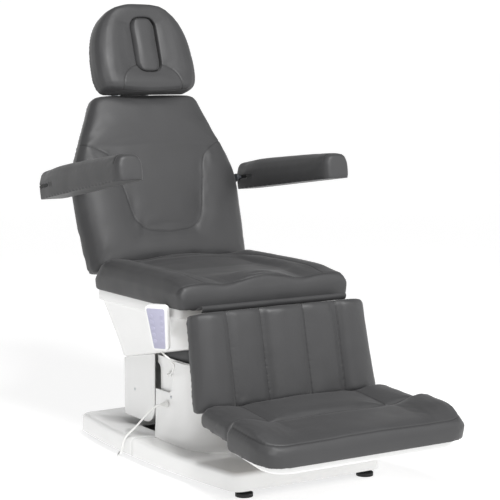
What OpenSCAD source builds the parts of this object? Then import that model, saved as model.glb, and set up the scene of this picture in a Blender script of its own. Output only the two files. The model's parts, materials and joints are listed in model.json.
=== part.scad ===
// Facial treatment bed with powered lift, back and leg sections.
// Origin: floor level, on the middle of the footprint; the foot end points to -Y and +Z is up.

/* [Upholstery] */
// Width of the seat cushion
seat_w = 616; // [556:4:656]
// Depth of the seat cushion, front to back
seat_d = 560; // [540:5:570]
// Thickness of the seat cushion at its sides
seat_t = 72; // [60:1:84]
// Length of the back cushion
back_l = 592; // [570:1:592]
// Width of the back cushion at the seat
back_w = 618; // [590:1:618]
// Width of the back cushion at its top edge
back_top_w = 382; // [340:1:440]
// Thickness of the back cushion
back_t = 75; // [60:1:80]
// Width of the calf cushion
leg_w = 620; // [580:1:640]
// Thickness of the calf cushion
leg_t = 50; // [36:1:54]
// Width of the front foot cushion
foot_w = 712; // [680:2:730]
// Length of the front foot cushion
foot_front_l = 220; // [160:2:240]
// Width of the headrest
head_w = 376; // [340:2:400]
// Height of the headrest
head_l = 300; // [284:2:320]
// Thickness of the headrest
head_t = 80; // [64:1:90]
// Width of the face plug
plug_w = 96; // [80:2:110]
// Length of the face plug
plug_l = 190; // [170:2:200]
// Length of an arm pad
arm_l = 548; // [440:4:560]
// Width of an arm pad
arm_w = 108; // [96:2:110]
// Height of an arm pad
arm_t = 96; // [86:1:104]

/* [Posture] */
// Lean of the back from upright, in degrees
back_a = 18.3; // [14:0.1:24]
// Slant of the calf section from upright, in degrees
leg_a = 12.5; // [9:0.1:15]
// Fall of the foot section towards its front, in degrees
foot_a = 5.5; // [0:0.5:6.5]
// Rise of the left arm pad towards its front, in degrees
arm_left_a = 7.4; // [4:0.1:12]
// Rise of the right arm pad towards its front, in degrees
arm_right_a = 10; // [4:0.1:12]

/* [Base] */
// Length of the base cover
base_l = 972; // [930:2:990]
// Greatest width of the base cover
base_w = 604; // [560:2:640]
// Height of the base top above the floor
base_top = 75; // [70:1:84]
// Gap between the floor and the base cover
floor_gap = 19; // [17:1:22]
// Wall of the moulded covers
wall = 4; // [3:0.5:5]

/* [Heights] */
// Underside of the seat cushion above the floor
seat_z = 518; // [510:1:530]

/* [Hidden] */
$fn = 48;

WHITE = "white";
GREY = "dimgray";
STEEL = "slategray";
BLACK = "black";
WOOD = "burlywood";

// Clearances: running fit of a pin in its bore, gap between sliding pieces, gap between bodies
fit = 0.05;
slide = 0.3;
gap = 0.3;

// Stations along the bed
seat_front = -174;
seat_rear = seat_front + seat_d;
board_t = 12;
frame_h = 20;
ear_x = seat_w / 2 - 138;
pan_x = ear_x - 5;
pan_y = [seat_front + 68, seat_rear - 66];
rail_y = [seat_front + 68, seat_rear - 46];
rail_w = 40;
lift_head_d = 110;
plate_t = 6;
pan_top = seat_z - board_t;
channel_top = pan_top - plate_t;
channel_bot = channel_top - frame_h;
head_plate_t = 12;
column_top = channel_bot - head_plate_t;

// Back group: its own frame starts on the front face of the cushion at seat level
back_ref = [0, seat_rear - 6, seat_z + 82];
back_low = -27;
back_tube = 25;
board_back = back_t + board_t;
back_pin = [0, back_ref[1] + 37, back_ref[2] - 65];

// Calf group: its own frame starts on the hinge axis
leg_pin = [0, seat_front - 7, seat_z - 18];
leg_face = -79.4;
leg_top = 3;
leg_end = -284;
leg_back = leg_face + leg_t;
leg_board_back = leg_back + board_t;
leg_tube = 25;

// Foot group: its own frame starts on the fold axis, which is given here in the calf group's frame
foot_axis = [0, -56, -298];
foot_top = 43;
foot_rear_t = 50;
foot_front_t = 62;
foot_start = -29;
foot_split = -197;
foot_rear_bot = foot_top - foot_rear_t;
foot_front_bot = foot_top - foot_front_t;
foot_tube_h = 20;
foot_tube_top = foot_rear_bot - board_t;
foot_x = ear_x + 5;
foot_arm_x = ear_x;

// Headrest group, in the back group's frame
head_low = 568;
head_face = -44;
head_back = head_face + head_t;
head_axis = [0, 100, 600];
post_x = 60;
post_r = 7;
post_t = 134;
plug_mid = 155;
plug_r = 34;

// Arm group: its own frame starts on the pivot axis
arm_x = 376;
arm_pin = [0, seat_rear + 114, seat_z + 326];
arm_low = -40;
arm_rear = 28;
arm_pin_r = 6;
bracket_x = 311;
tongue_t = 5;

// Hinge ears and lugs, pins and levers
pin_r = 8;
ear_t = 10;
lug_t = 10;
lug_x = ear_x - 2 - lug_t;
lever_x = ear_x + 20;
lever_t = 12;
fork_gap = 3;
cheek_t = 6;
tube_w = 30;

// Back drive: the pin runs along Y below the hinge and swings a slotted lever
back_drop = 78;
back_free = 3.4;
back_swing = 90 - back_a;
// Calf drive
leg_drop = 70;
leg_free = 4.6;
leg_swing = 90 - leg_a;
rod_r = 10;

// Column
col_y = 110;
col_x = 85;
col_d = 65;
tube_wall = 5;
tube_gap = 0.4;

// Column covers
boot_top = 325;
boot_w = 205;
boot_edge = 150;
sleeve_w = 196;
rear_w = 208;
tub_rear = seat_rear;
rear_y = tub_rear + 6;
rear_bot = 104;
tub_low = seat_z - 234;
tub_w = seat_w / 2 - 18;
tub_lip = 9;
cover_top = tub_low + 136;
tub_slope = 0.206;

// Base outline
base_rear = 565;
base_front = base_rear - base_l;
base_mid = 90;
base_bow = 1.62e-4;
base_r = 40;
cover_split = 140;
stud_x = 216;
stud_y = [base_front + 25, base_rear - 45];
// Posts of the frame that carry the base covers
post_y = [base_front + 150, base_rear - 120];

// Handset: middle of its body, turn about Z and lean
handset_c = [-seat_w / 2 - 13, -77, seat_z - 60];
handset_turn = -55;
handset_lean = 14;
handset_l = 145;
handset_t = 22;
handset_top_w = 75;
handset_low_w = 54;
grommet = [-sleeve_w, 71, tub_low - 4];

// Cords: radius and hand-set route of each free stretch
mains_r = 3.2;
mains_start = [-226, 75, 186];
coil_c = [40, 645];
coil_r = 38;
coil_in = coil_c[0] + coil_r;
mains_route = [mains_start - [0.5, 0, 0], mains_start - [6, 0, 0], mains_start - [10, 0, 0],
    [-250, 88, 175], [-268, 112, 145], [-287, 142, 106], [-301, 160, 85], [-310, 170, 64],
    [-312, 180, 36], [-312, 196, 13], [-304, 222, 4.2], [-270, 265, 4.2], [-170, 330, 4.2],
    [-40, 400, 4.2], [50, 470, 4.2], [coil_in - 2, 550, 4.2], [coil_in, 628, 4.2]];
coil_loops = 3.5;
coil_rise = 7.4;
coil_tail = [[coil_c[0] - coil_r - 1, 628, 30.4], [-5, 608, 27], [-22, 592, 21], [-38, 588, 19.5],
    [-46, 588, 19.5]];
handset_cord_r = 2.6;
handset_drop = [[14.6, 10.2, -71.1], [15.4, 10.8, -75], [16, 11.2, -78], [22, 3, -88], [36, -3, -101]];
handset_bow = [[-68, -137, 55], [-47, -89, 24], [-24, -25, 2], [-12, 0, 0], [-8, 0, 0], [-4.4, 0, 0]];
handset_route = concat([for (p = handset_drop) handset_c + p], [for (p = handset_bow) grommet + p]);

// Small helpers
function unit(v) = v / norm(v);
function root(a, p) = pow(max(a, 0), 1 / p);
function ease(a, b, x) = let (u = min(1, max(0, (x - a) / (b - a)))) u * u * (3 - 2 * u);
function bump(x, c, s) = exp(-pow((x - c) / s, 2));
function middle(ring) = [for (k = [0:2]) let (v = [for (p = ring) p[k]]) (min(v) + max(v)) / 2];

// Closed skin over a list of rings, each end shut by a fan
module skin(rings) {
    n = len(rings[0]);
    m = len(rings);
    pts = concat([for (r = rings) each r], [middle(rings[0]), middle(rings[m - 1])]);
    sides = [for (i = [0:m - 2], j = [0:n - 1])
        let (a = i * n + j, b = i * n + (j + 1) % n)
        each [[a, b, a + n], [b, b + n, a + n]]];
    first = [for (j = [0:n - 1]) [m * n, (j + 1) % n, j]];
    last = [for (j = [0:n - 1]) [m * n + 1, (m - 1) * n + j, (m - 1) * n + (j + 1) % n]];
    polyhedron(pts, concat(sides, first, last), convexity = 8);
}

// Open wall between an outer and an inner grid of points, level by level upwards
module wall_skin(outer, inner) {
    m = len(outer);
    n = len(outer[0]);
    k = m * n;
    pts = concat([for (r = outer) each r], [for (r = inner) each r]);
    top = (m - 1) * n;
    faces = concat(
        [for (i = [0:m - 2], j = [0:n - 2]) let (a = i * n + j)
            each [[a, a + n, a + 1], [a + 1, a + n, a + n + 1],
                [k + a, k + a + 1, k + a + n], [k + a + 1, k + a + n + 1, k + a + n]]],
        [for (j = [0:n - 2])
            each [[j, j + 1, k + j], [j + 1, k + j + 1, k + j],
                [top + j, k + top + j, top + j + 1], [top + j + 1, k + top + j, k + top + j + 1]]],
        [for (i = [0:m - 2]) let (a = i * n, e = i * n + n - 1)
            each [[a, k + a, a + n], [a + n, k + a, k + a + n],
                [e, e + n, k + e], [e + n, k + e + n, k + e]]]);
    polyhedron(pts, faces, convexity = 8);
}

// Stations of a cushion along its length: place, roundness from 0 at the ends to 1 inside, end radius
function stations(l, r, s, m) = concat(
    [for (a = [0, 30, 60]) [r * (1 - cos(a)), sin(a), r]],
    [for (i = [0:m]) [r + (l - r - s) * i / m, 1, r]],
    [for (a = [60, 30, 0]) [l - s * (1 - cos(a)), sin(a), s]]);

// Cross-section of a cushion: drawn-in sides, rounded shoulders, flat underside
SIDES = [0, 0.35, 0.6];
EDGE = 0.94;
function section(w, t, p, n, draw) =
    let (side = [for (k = SIDES) [w * root(1 - pow(k, p), p) - draw * pow(1 - k, 2), k * t]])
    concat(side,
        [for (i = [0:n]) let (u = EDGE * (1 - 2 * i / n)) [w * u, t * root(1 - pow(abs(u), p), p)]],
        [for (k = [len(side) - 1:-1:0]) [-side[k][0], side[k][1]]]);

// Cushion lying on z = 0 along +Y; ends are its two end radii, half its half width, rise the form of its top
module cushion(l, t, ends, corner, half, rise, p = 6, n = 24, m = 10, draw = 6) {
    skin([for (s = stations(l, ends[0], ends[1], m))
        let (w = half(s[0]) - corner * (1 - s[1]), h = t - s[2] * (1 - s[1]))
        [for (q = section(w, h, p, n, draw))
            [q[0], s[0], q[1] + s[1] * rise(q[0], s[0]) * pow(q[1] / h, 2)]]]);
}

// Round tube along a list of points, one ring a point
function turned(list, v) = unit(v - list * (v * list));
module sweep(path, r, sides) {
    n = len(path);
    dirs = [for (i = [0:n - 1]) unit(path[min(i + 1, n - 1)] - path[max(i - 1, 0)])];
    norms = [for (i = 0, v = turned(dirs[0], [0.3, 0.2, 1]); i < n;
        i = i + 1, v = i < n ? turned(dirs[i], v) : v) v];
    skin([for (i = [0:n - 1]) let (u = norms[i], w = cross(dirs[i], u))
        [for (k = [0:sides - 1]) let (a = -360 * k / sides)
            path[i] + r * (cos(a) * u + sin(a) * w)]]);
}

// Smooth curve through hand-set points, k steps a stretch
function curve(pts, k) = concat([for (i = [0:len(pts) - 2], s = [0:k - 1])
    let (a = pts[max(i - 1, 0)], b = pts[i], c = pts[i + 1], d = pts[min(i + 2, len(pts) - 1)], u = s / k)
    0.5 * (2 * b + (c - a) * u + (2 * a - 5 * b + 4 * c - d) * u * u
        + (3 * b - a - 3 * c + d) * u * u * u)], [pts[len(pts) - 1]]);
function run(pts, i = 1) = i >= len(pts) ? 0 : norm(pts[i] - pts[i - 1]) + run(pts, i + 1);

// Rounded rectangle, counter-clockwise, with a height that rises towards the front
function tray_ring(z, slope, w, front, rear, r) = [for (c = [[-1, 1, 90], [-1, -1, 180], [1, -1, 270],
    [1, 1, 360]], a = [0:15:90])
    let (x = c[0] * (w - r) + r * cos(c[2] + a),
        y = (c[1] > 0 ? rear - r : front + r) + r * sin(c[2] + a))
    [x, y, z + slope * (tub_rear - y)]];

// Open path round the front of the column, from the left edge to the right one
function front_path(w, front, edge, z, p = 2.6) = concat(
    [for (i = [0:3]) [-w, edge * (1 - i / 3), z]],
    [for (a = [15:15:165]) let (c = cos(180 + a), s = sin(180 + a))
        [w * sign(c) * root(abs(c), p / 2), front * root(abs(s), p / 2), z]],
    [for (i = [0:3]) [w, edge * i / 3, z]]);

// Open path round the rear of the column, from the right edge to the left one
function rear_path(w, rear, edge, r, z) = concat(
    [for (i = [0:3]) [w, edge + (rear - r - edge) * i / 3, z]],
    [for (a = [15:15:75]) [w - r + r * cos(a), rear - r + r * sin(a), z]],
    [for (a = [90:15:165]) [r - w + r * cos(a), rear - r + r * sin(a), z]],
    [for (i = [3:-1:0]) [-w, edge + (rear - r - edge) * i / 3, z]]);

module both_sides() {
    children();
    mirror([1, 0, 0]) children();
}
module across(x0, x1) {
    translate([x0, 0, 0]) rotate([90, 0, 90]) linear_extrude(x1 - x0) children();
}
module cross_pin(x0, x1, r) {
    translate([x0, 0, 0]) rotate([0, 90, 0]) cylinder(r = r, h = x1 - x0);
}
module box(x, y, z) {
    translate([x[0], y[0], z[0]]) cube([x[1] - x[0], y[1] - y[0], z[1] - z[0]]);
}
module in_back() {
    translate(back_ref) rotate([-back_a, 0, 0]) children();
}
module in_leg() {
    translate(leg_pin) rotate([-leg_a, 0, 0]) children();
}
module in_foot() {
    in_leg() translate(foot_axis) rotate([leg_a + foot_a, 0, 0]) children();
}
module in_arm(side) {
    translate([side * arm_x, arm_pin[1], arm_pin[2]])
        rotate([side > 0 ? -arm_left_a : -arm_right_a, 0, 0]) children();
}
module in_handset() {
    translate(handset_c) rotate([0, 0, handset_turn]) rotate([handset_lean, 0, 0]) children();
}
// Back hinge axis and arm pivot axis in the back group's frame
function to_back(p) = let (d = p - back_ref, s = sin(back_a), c = cos(back_a))
    [0, d[1] * c - d[2] * s, d[1] * s + d[2] * c];
back_axis = to_back(back_pin);
arm_axis = to_back(arm_pin);

// Base
function base_half(y) = base_w / 2 - base_bow * pow(y - base_mid, 2);
function base_ring(inset, z) = let (f = base_front + base_r, b = base_rear - base_r, r = base_r - inset)
    concat(
        [for (a = [90:15:165]) [base_r - base_half(b) + r * cos(a), b + r * sin(a), z]],
        [for (i = [0:8]) let (y = b + (f - b) * i / 8) [inset - base_half(y), y, z]],
        [for (a = [195:15:270]) [base_r - base_half(f) + r * cos(a), f + r * sin(a), z]],
        [for (a = [270:15:345]) [base_half(f) - base_r + r * cos(a), f + r * sin(a), z]],
        [for (i = [0:8]) let (y = f + (b - f) * i / 8) [base_half(y) - inset, y, z]],
        [for (a = [15:15:90]) [base_half(b) - base_r + r * cos(a), b + r * sin(a), z]]);
module base_shell() {
    crown = 14;
    difference() {
        skin(concat(
            [for (a = [90:-30:0]) base_ring(crown * (1 - cos(a)), base_top - crown * (1 - sin(a)))],
            [base_ring(0, floor_gap)]));
        skin([base_ring(crown, base_top - wall), base_ring(wall, base_top - crown),
            base_ring(wall, floor_gap - 1)]);
        box([-190, 190], [-150, 380], [floor_gap, base_top + 1]);
    }
}
module base_cover_front() {
    color(WHITE) difference() {
        base_shell();
        box([-400, 400], [cover_split - gap, 700], [0, 200]);
    }
}
module base_cover_rear() {
    color(WHITE) difference() {
        base_shell();
        box([-400, 400], [-700, cover_split + gap], [0, 200]);
    }
}
rail_z = 44;
plate_z = 50;
module at_studs() {
    for (x = [-stud_x, stud_x], y = stud_y) translate([x, y, 0]) children();
}
module base_frame() {
    color(STEEL) difference() {
        union() {
            box([-236, 236], [base_front + 20, base_rear - 18], [rail_z, plate_z]);
            both_sides() box([stud_x - 20, stud_x + 20], [base_front + 20, base_rear - 18], [20, rail_z]);
            for (x = [-stud_x, stud_x], y = post_y) translate([x, y, plate_z])
                cylinder(r = 8, h = base_top - wall - plate_z);
        }
        at_studs() cylinder(r = 5 + fit, h = 100);
    }
}
module foot_studs() {
    color(STEEL) at_studs() {
        translate([0, 0, 10]) cylinder(r = 5, h = plate_z - 10);
        translate([0, 0, 16 + gap]) cylinder(r = 9, h = 3.4, $fn = 6);
    }
}
module foot_pads() {
    color(BLACK) at_studs() difference() {
        union() {
            cylinder(r = 26, h = 11);
            translate([0, 0, 11]) cylinder(r1 = 24, r2 = 13, h = 5);
        }
        translate([0, 0, 10]) cylinder(r = 5 + fit, h = 10);
    }
}
// Levels of the boot: height, half width, front, rear edge
BOOT = [[base_top, 234, -214, 112], [base_top + 5, 229, -205, 118], [base_top + 20, 220, -178, 132],
    [base_top + 55, 211, -146, 144], [base_top + 115, 207, -118, boot_edge],
    [boot_top, boot_w, -100, boot_edge]];
module column_boot() {
    color(WHITE) difference() {
        wall_skin([for (b = BOOT) front_path(b[1], b[2], b[3], b[0])],
            [for (b = BOOT) front_path(b[1] - wall, b[2] + wall, b[3], b[0])]);
        translate([0, 72, 246]) across(-300, 300) offset(24) square([120, 120]);
        translate([0, mains_start[1], mains_start[2]]) cross_pin(-260, 0, 8 + fit);
    }
}
module rect_tube(x, y, t, z0, z1) {
    difference() {
        box([-x, x], [col_y - y, col_y + y], [z0, z1]);
        box([t - x, x - t], [col_y - y + t, col_y + y - t], [z0 - 1, z1 + 1]);
    }
}
module column_outer() {
    color(STEEL) rect_tube(col_x, col_d, tube_wall, plate_z, 290);
}
tube_step = tube_wall + tube_gap;
module column_middle() {
    color(STEEL) rect_tube(col_x - tube_step, col_d - tube_step, tube_wall, plate_z + 8, 302);
}
module column_inner() {
    color("silver")
        rect_tube(col_x - 2 * tube_step, col_d - 2 * tube_step, tube_wall, plate_z + 16, column_top);
}
module lift_motor() {
    color(BLACK) {
        box([-42, 42], [col_y + col_d + 4, col_y + col_d + 90], [plate_z, 130]);
        translate([0, col_y + col_d + 47, 130]) cylinder(r = 36, h = 80);
    }
}
module control_box() {
    color(GREY) box([-182, -100], [-50, 64], [plate_z, 158]);
}
module mains_gland() {
    x = mains_start[0];
    color(BLACK) translate([0, mains_start[1], mains_start[2]]) difference() {
        union() {
            cross_pin(x, -201, 8);
            cross_pin(-214, -209.5, 11);
        }
        cross_pin(x + 6, -200, mains_r);
    }
}
mains_path = curve(mains_route, 5);
module mains_cord() {
    echo(mains_cord_length = run(mains_path));
    color(WHITE) sweep(mains_path, mains_r, 8);
}
coil_path = concat(
    [[coil_in, 628.2, 4.2], [coil_in, 636, 4.2]],
    [for (i = [0:coil_loops * 20]) let (a = i * 18)
        [coil_c[0] + coil_r * cos(a), coil_c[1] + coil_r * sin(a), 4.2 + coil_rise * a / 360]],
    coil_tail);
coil_gap = min([for (i = [0:len(coil_path) - 13], j = [i + 12:len(coil_path) - 1])
    norm(coil_path[i] - coil_path[j])]) - 2 * mains_r;
module mains_coil() {
    echo(mains_coil_length = run(coil_path), coil_self_gap = coil_gap);
    color(WHITE) sweep(coil_path, mains_r, 6);
}
module mains_plug() {
    e = coil_tail[len(coil_tail) - 1];
    color(WHITE) translate([e[0] - gap, e[1], e[2]]) {
        cross_pin(-14, 0, 6);
        cross_pin(-50, -14, 19);
    }
    color("silver") translate([e[0] - gap, e[1], e[2]])
        for (y = [-9.5, 9.5]) translate([0, y, 0]) cross_pin(-69, -50, 2.4);
}

// Carriage: all that the column lifts
module lift_head() {
    color(STEEL) box([-ear_x, ear_x], [col_y - lift_head_d, col_y + lift_head_d], [column_top, channel_bot]);
}
module seat_frame() {
    color(STEEL) {
        box([-pan_x, pan_x], pan_y, [channel_top, pan_top]);
        both_sides() box([ear_x - rail_w, ear_x], rail_y, [channel_bot, channel_top]);
    }
}
module seat_board() {
    w = tub_w - 18;
    color(WOOD) box([-w, w], [seat_front + 74, seat_rear - 56], [pan_top, seat_z]);
}
// Thigh rolls part round a raised middle at the front; the sitting area is hollowed behind it
roll_x = seat_w / 2 - 44;
roll_y = [0, 120];
valley_x = seat_w * 0.224;
valley_y = [60, 200];
pommel_y = [60, 160];
hollow_x = [seat_w / 2 - 158, seat_w / 2 - 83];
hollow_y = [90, 200];
hollow_end = [seat_d - 140, seat_d - 60];
function along(y, range) = ease(range[0], range[1], y);
function seat_rise(x, y) = 6 + 20 * bump(abs(x), roll_x, 66) * along(y, roll_y) + 3 * ease(60, 260, y)
    + 15 * bump(x, 0, 58) * (1 - along(y, pommel_y))
    - 12 * bump(abs(x), valley_x, 46) * (1 - along(y, valley_y))
    - 15 * (1 - along(abs(x), hollow_x)) * along(y, hollow_y) * (1 - along(y, hollow_end));
module seat_cushion() {
    color(GREY) translate([0, seat_front, seat_z])
        cushion(seat_d, seat_t, [20, 50], 12, function (y) seat_w / 2, function (x, y) seat_rise(x, y),
            p = 8, m = 14);
}
// Levels of the tub: height at the rear, slope, half width, front, rear, corner radius
TUB = [[seat_z - gap, 0, tub_w, seat_front + 44, tub_rear + 2, 25],
    [channel_bot + 4, 0, tub_w, seat_front + 44, tub_rear + 2, 25],
    [channel_bot + 2, 0, tub_w - tub_lip, seat_front + 53, tub_rear - 6, 30],
    [channel_bot - 50, 0.03, tub_w - 26, seat_front + 90, tub_rear - 4, 45],
    [tub_low + 61, 0.15, 235, seat_front + 112, tub_rear, 58],
    [tub_low + 9, tub_slope, 218, seat_front + 122, tub_rear + 2, 60],
    [tub_low, tub_slope, 204, seat_front + 134, tub_rear - 12, 52]];
TUB_MOUTH = [for (z = [seat_z + 3, channel_bot + 4])
    [z, 0, tub_w - tub_lip, seat_front + 53, tub_rear - 6, 30]];
module seat_tub() {
    color(WHITE) difference() {
        skin([for (t = TUB) tray_ring(t[0], t[1], t[2], t[3], t[4], t[5])]);
        skin([for (t = concat(TUB_MOUTH, [for (i = [3:6]) TUB[i]]))
            tray_ring(t[0] + (t[1] > 0.1 ? wall : 0), t[1], t[2] - wall, t[3] + wall, t[4] - wall,
                t[5] - wall)]);
        box([-col_x - 4, col_x + 4], [col_y - col_d - 4, col_y + col_d + 4],
            [tub_low - 84, tub_low + 116]);
        both_sides() box([ear_x - 3, ear_x + ear_t + 3], [tub_rear - 56, tub_rear + 14],
            [channel_bot - 2, seat_z + 2]);
        both_sides() box([ear_x - 3, ear_x + ear_t + 3], [-160, -90], [channel_bot - 2, seat_z + 2]);
        box([lever_x - 18, lever_x + 18], [tub_rear - 56, tub_rear + 14],
            [back_pin[2] - lever_reach(back_drop, back_swing, back_free) - 4, seat_z + 2]);
        box([-lever_x - 18, 18 - lever_x], [-160, -40],
            [leg_pin[2] - leg_drop - 16, leg_pin[2] - leg_drop + 16]);
    }
}
module under_tub(drop) {
    translate([0, tub_rear, tub_low - drop]) rotate([-atan(tub_slope), 0, 0])
        translate([-400, -700, 0]) cube([800, 1000, 400]);
}
module column_rear_cover() {
    edge = boot_edge + 6;
    r = 56;
    color(WHITE) difference() {
        wall_skin([for (z = [rear_bot, cover_top]) rear_path(rear_w, rear_y, edge, 50, z)],
            [for (z = [rear_bot, cover_top]) rear_path(rear_w - wall, rear_y - wall, edge, 50 - wall, z)]);
        under_tub(1);
        across(-300, 300) difference() {
            translate([edge - 10, rear_bot - 10]) square([r + 10, r + 10]);
            translate([edge + r, rear_bot + r]) circle(r);
        }
        translate([0, 330, 175]) cross_pin(-300, 0, 4);
    }
}
module column_sleeve() {
    edge = 136;
    low = 172;
    r = 44;
    color(WHITE) difference() {
        wall_skin([for (z = [low, cover_top]) front_path(sleeve_w, -62, edge, z, 4)],
            [for (z = [low, cover_top]) front_path(sleeve_w - wall, wall - 62, edge, z, 4)]);
        under_tub(1);
        across(-300, 300) difference() {
            translate([edge - r, low - 10]) square([r + 10, r + 10]);
            translate([edge - r, low + r]) circle(r);
        }
        translate([0, grommet[1], grommet[2]]) cross_pin(-300, 0, 6 + fit);
    }
}
module hinge_ears() {
    color(STEEL) both_sides() difference() {
        across(ear_x, ear_x + ear_t) {
            hull() {
                translate([back_pin[1], back_pin[2]]) circle(14, $fn = 32);
                translate([back_pin[1] - 25, back_pin[2] - 35]) circle(12, $fn = 32);
            }
            hull() {
                translate([back_pin[1] - 25, back_pin[2] - 35]) circle(12, $fn = 32);
                translate([tub_rear - 86, channel_bot]) square([36, frame_h]);
            }
            hull() {
                translate([leg_pin[1], leg_pin[2]]) circle(11, $fn = 32);
                translate([seat_front + 62, channel_bot]) square([50, frame_h - 8]);
            }
        }
        translate(back_pin) cross_pin(0, 300, pin_r + fit);
        translate(leg_pin) cross_pin(0, 300, pin_r + fit);
    }
}
module hinge_pins() {
    color("silver") both_sides() for (p = [back_pin, leg_pin]) translate(p) {
        cross_pin(lug_x - 3, ear_x + ear_t + 0.2, pin_r);
        cross_pin(ear_x + ear_t + 0.2, ear_x + ear_t + 3.6, 11);
    }
}
// Linear drive: x of its axis, height, the two ends of its barrel and of its motor
module actuator(x, z, barrel, motor) {
    s = sign(x);
    color(BLACK) difference() {
        union() {
            translate([x, barrel[0], z]) rotate([-90, 0, 0]) cylinder(r = 17.5, h = barrel[1] - barrel[0]);
            box([x - 17, x + 17], motor, [z - 19, z + 19]);
            box([min(s * ear_x, x), max(s * ear_x, x)], [100, 150], [z - 6, z + 6]);
            box([min(s * ear_x, s * (ear_x + 6)), max(s * ear_x, s * (ear_x + 6))], [100, 150],
                [z - 6, channel_top - 2]);
        }
        translate([x, -400, z]) rotate([-90, 0, 0])
            intersection() {
                cylinder(r = rod_r + slide, h = 1000);
                translate([-50, -50, 400 + barrel[0] - 1]) cube([100, 100, barrel[1] - barrel[0] + 2]);
            }
    }
}
back_z = back_pin[2] - back_drop;
leg_z = leg_pin[2] - leg_drop;
// Place of the drive pins at rest, half the swing before the lever hangs straight down
back_fork = back_pin[1] + back_drop * tan(back_swing / 2);
leg_fork = leg_pin[1] + leg_drop * tan(leg_swing / 2);
module back_actuator() {
    actuator(lever_x, back_z, [40, 300], [-44, 40]);
}
module leg_actuator() {
    actuator(-lever_x, leg_z, [-50, 190], [190, 270]);
}
// Rod with a forked end: dir is +1 when the fork points to +Y
module drive_rod(x, z, fork, tail, dir) {
    half = lever_t / 2 + fork_gap;
    back = 48;
    color("silver") translate([x, 0, z]) {
        a = fork - dir * (back + 12);
        translate([0, min(a, tail), 0]) rotate([-90, 0, 0]) cylinder(r = rod_r, h = abs(a - tail));
        box([-half - cheek_t, half + cheek_t], [min(a, fork - dir * back), max(a, fork - dir * back)],
            [-13, 13]);
        for (s = [-1, 1]) translate([s > 0 ? half : -half - cheek_t, 0, 0]) {
            box([0, cheek_t], [min(fork, fork - dir * (back + 6)), max(fork, fork - dir * (back + 6))],
                [-12, 12]);
            translate([0, fork, 0]) cross_pin(0, cheek_t, 12);
        }
        translate([0, fork, 0]) cross_pin(-half - 1, half + 1, pin_r);
    }
}
module back_rod() {
    drive_rod(lever_x, back_z, back_fork, 170, 1);
}
module leg_rod() {
    drive_rod(-lever_x, leg_z, leg_fork, 140, -1);
}
// Slotted lever plate, drawn in the Y-Z plane about its hinge; at rest it leans by half its swing
lever_rim = 8;
lever_over = 3;
function lever_long(drop, swing) = drop / cos(swing / 2) + lever_over;
function lever_reach(drop, swing, free) = lever_long(drop, swing) + pin_r + free + lever_rim;
module lever_shape(drop, swing, free, root_at, root_size) {
    long = lever_long(drop, swing);
    difference() {
        hull() {
            rotate(swing / 2) translate([0, -long]) circle(pin_r + free + lever_rim, $fn = 32);
            translate(root_at) square(root_size, center = true);
        }
        hull() for (d = [drop - lever_over, long])
            rotate(swing / 2) translate([0, -d]) circle(pin_r + free, $fn = 32);
    }
}
module handset_hook() {
    color(WHITE) difference() {
        in_handset() {
            box([-13, 13], [handset_t / 2 + gap, 60], [18, 40]);
            box([-20, 20], [handset_t / 2 + gap, handset_t / 2 + 4], [8, 46]);
        }
        box([-tub_w, 0], [-300, 300], [seat_z - 218, seat_z + 82]);
    }
}
module handset_outline(grow) {
    hull() for (s = [-1, 1]) {
        translate([s * (handset_top_w / 2 - 14 + grow), handset_l / 2 - 14 + grow]) circle(14, $fn = 32);
        translate([s * (handset_low_w / 2 - 12 + grow), 12 - handset_l / 2 - grow]) circle(12, $fn = 32);
    }
}
key_t = 1.2;
module handset_case() {
    color(WHITE) in_handset() difference() {
        rotate([90, 0, 0]) translate([0, 0, -handset_t / 2]) linear_extrude(handset_t) handset_outline(0);
        translate([0, key_t - handset_t / 2, 0]) rotate([90, 0, 0]) linear_extrude(5) handset_outline(-8);
    }
}
module handset_keypad() {
    color("lightsteelblue") in_handset() translate([0, key_t - handset_t / 2, 0]) rotate([90, 0, 0]) {
        linear_extrude(key_t) handset_outline(-8 - slide);
        for (i = [0:4], s = [-1, 1])
            translate([s * (handset_low_w / 4 - 1 + 1.2 * i), -40 + 20 * i, 0])
                cylinder(r = 6.5, h = key_t + 0.8);
    }
}
module cord_grommet() {
    color(BLACK) translate([0, grommet[1], grommet[2]]) difference() {
        union() {
            cross_pin(grommet[0] - 4, grommet[0], 9.5);
            cross_pin(grommet[0], grommet[0] + wall + 2, 6);
        }
        cross_pin(grommet[0] - 5, grommet[0] + 10, handset_cord_r);
    }
}
handset_path = curve(handset_route, 4);
module handset_cord() {
    echo(handset_cord_length = run(handset_path));
    color(WHITE) sweep(handset_path, handset_cord_r, 8);
}
module gap_flap() {
    w = seat_w / 2 - 45;
    y = seat_front;
    z = seat_z;
    color(GREY) across(-w, w) polygon([[y + 22, z - 6], [y + 22, z - gap], [y - 4, z - gap], [y - 26, z + 10],
        [y - 61, z + 16], [y - 63, z + 10], [y - 28, z + 3], [y - 4, z - 5]]);
}

// Back section
// Half width of the back at height l above the seat line: widest at the elbows, slanted shoulders
elbow = 245;
shoulder = 364;
shoulder_in = 28;
function back_half(l) = back_w / 2 - (l < elbow ? 16 * pow((l - elbow) / (elbow - back_low), 2)
    : l < shoulder ? shoulder_in * pow((l - elbow) / (shoulder - elbow), 2)
    : shoulder_in + ((back_w - back_top_w) / 2 - shoulder_in)
        * (l - shoulder) / (back_l + back_low - shoulder));
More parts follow.
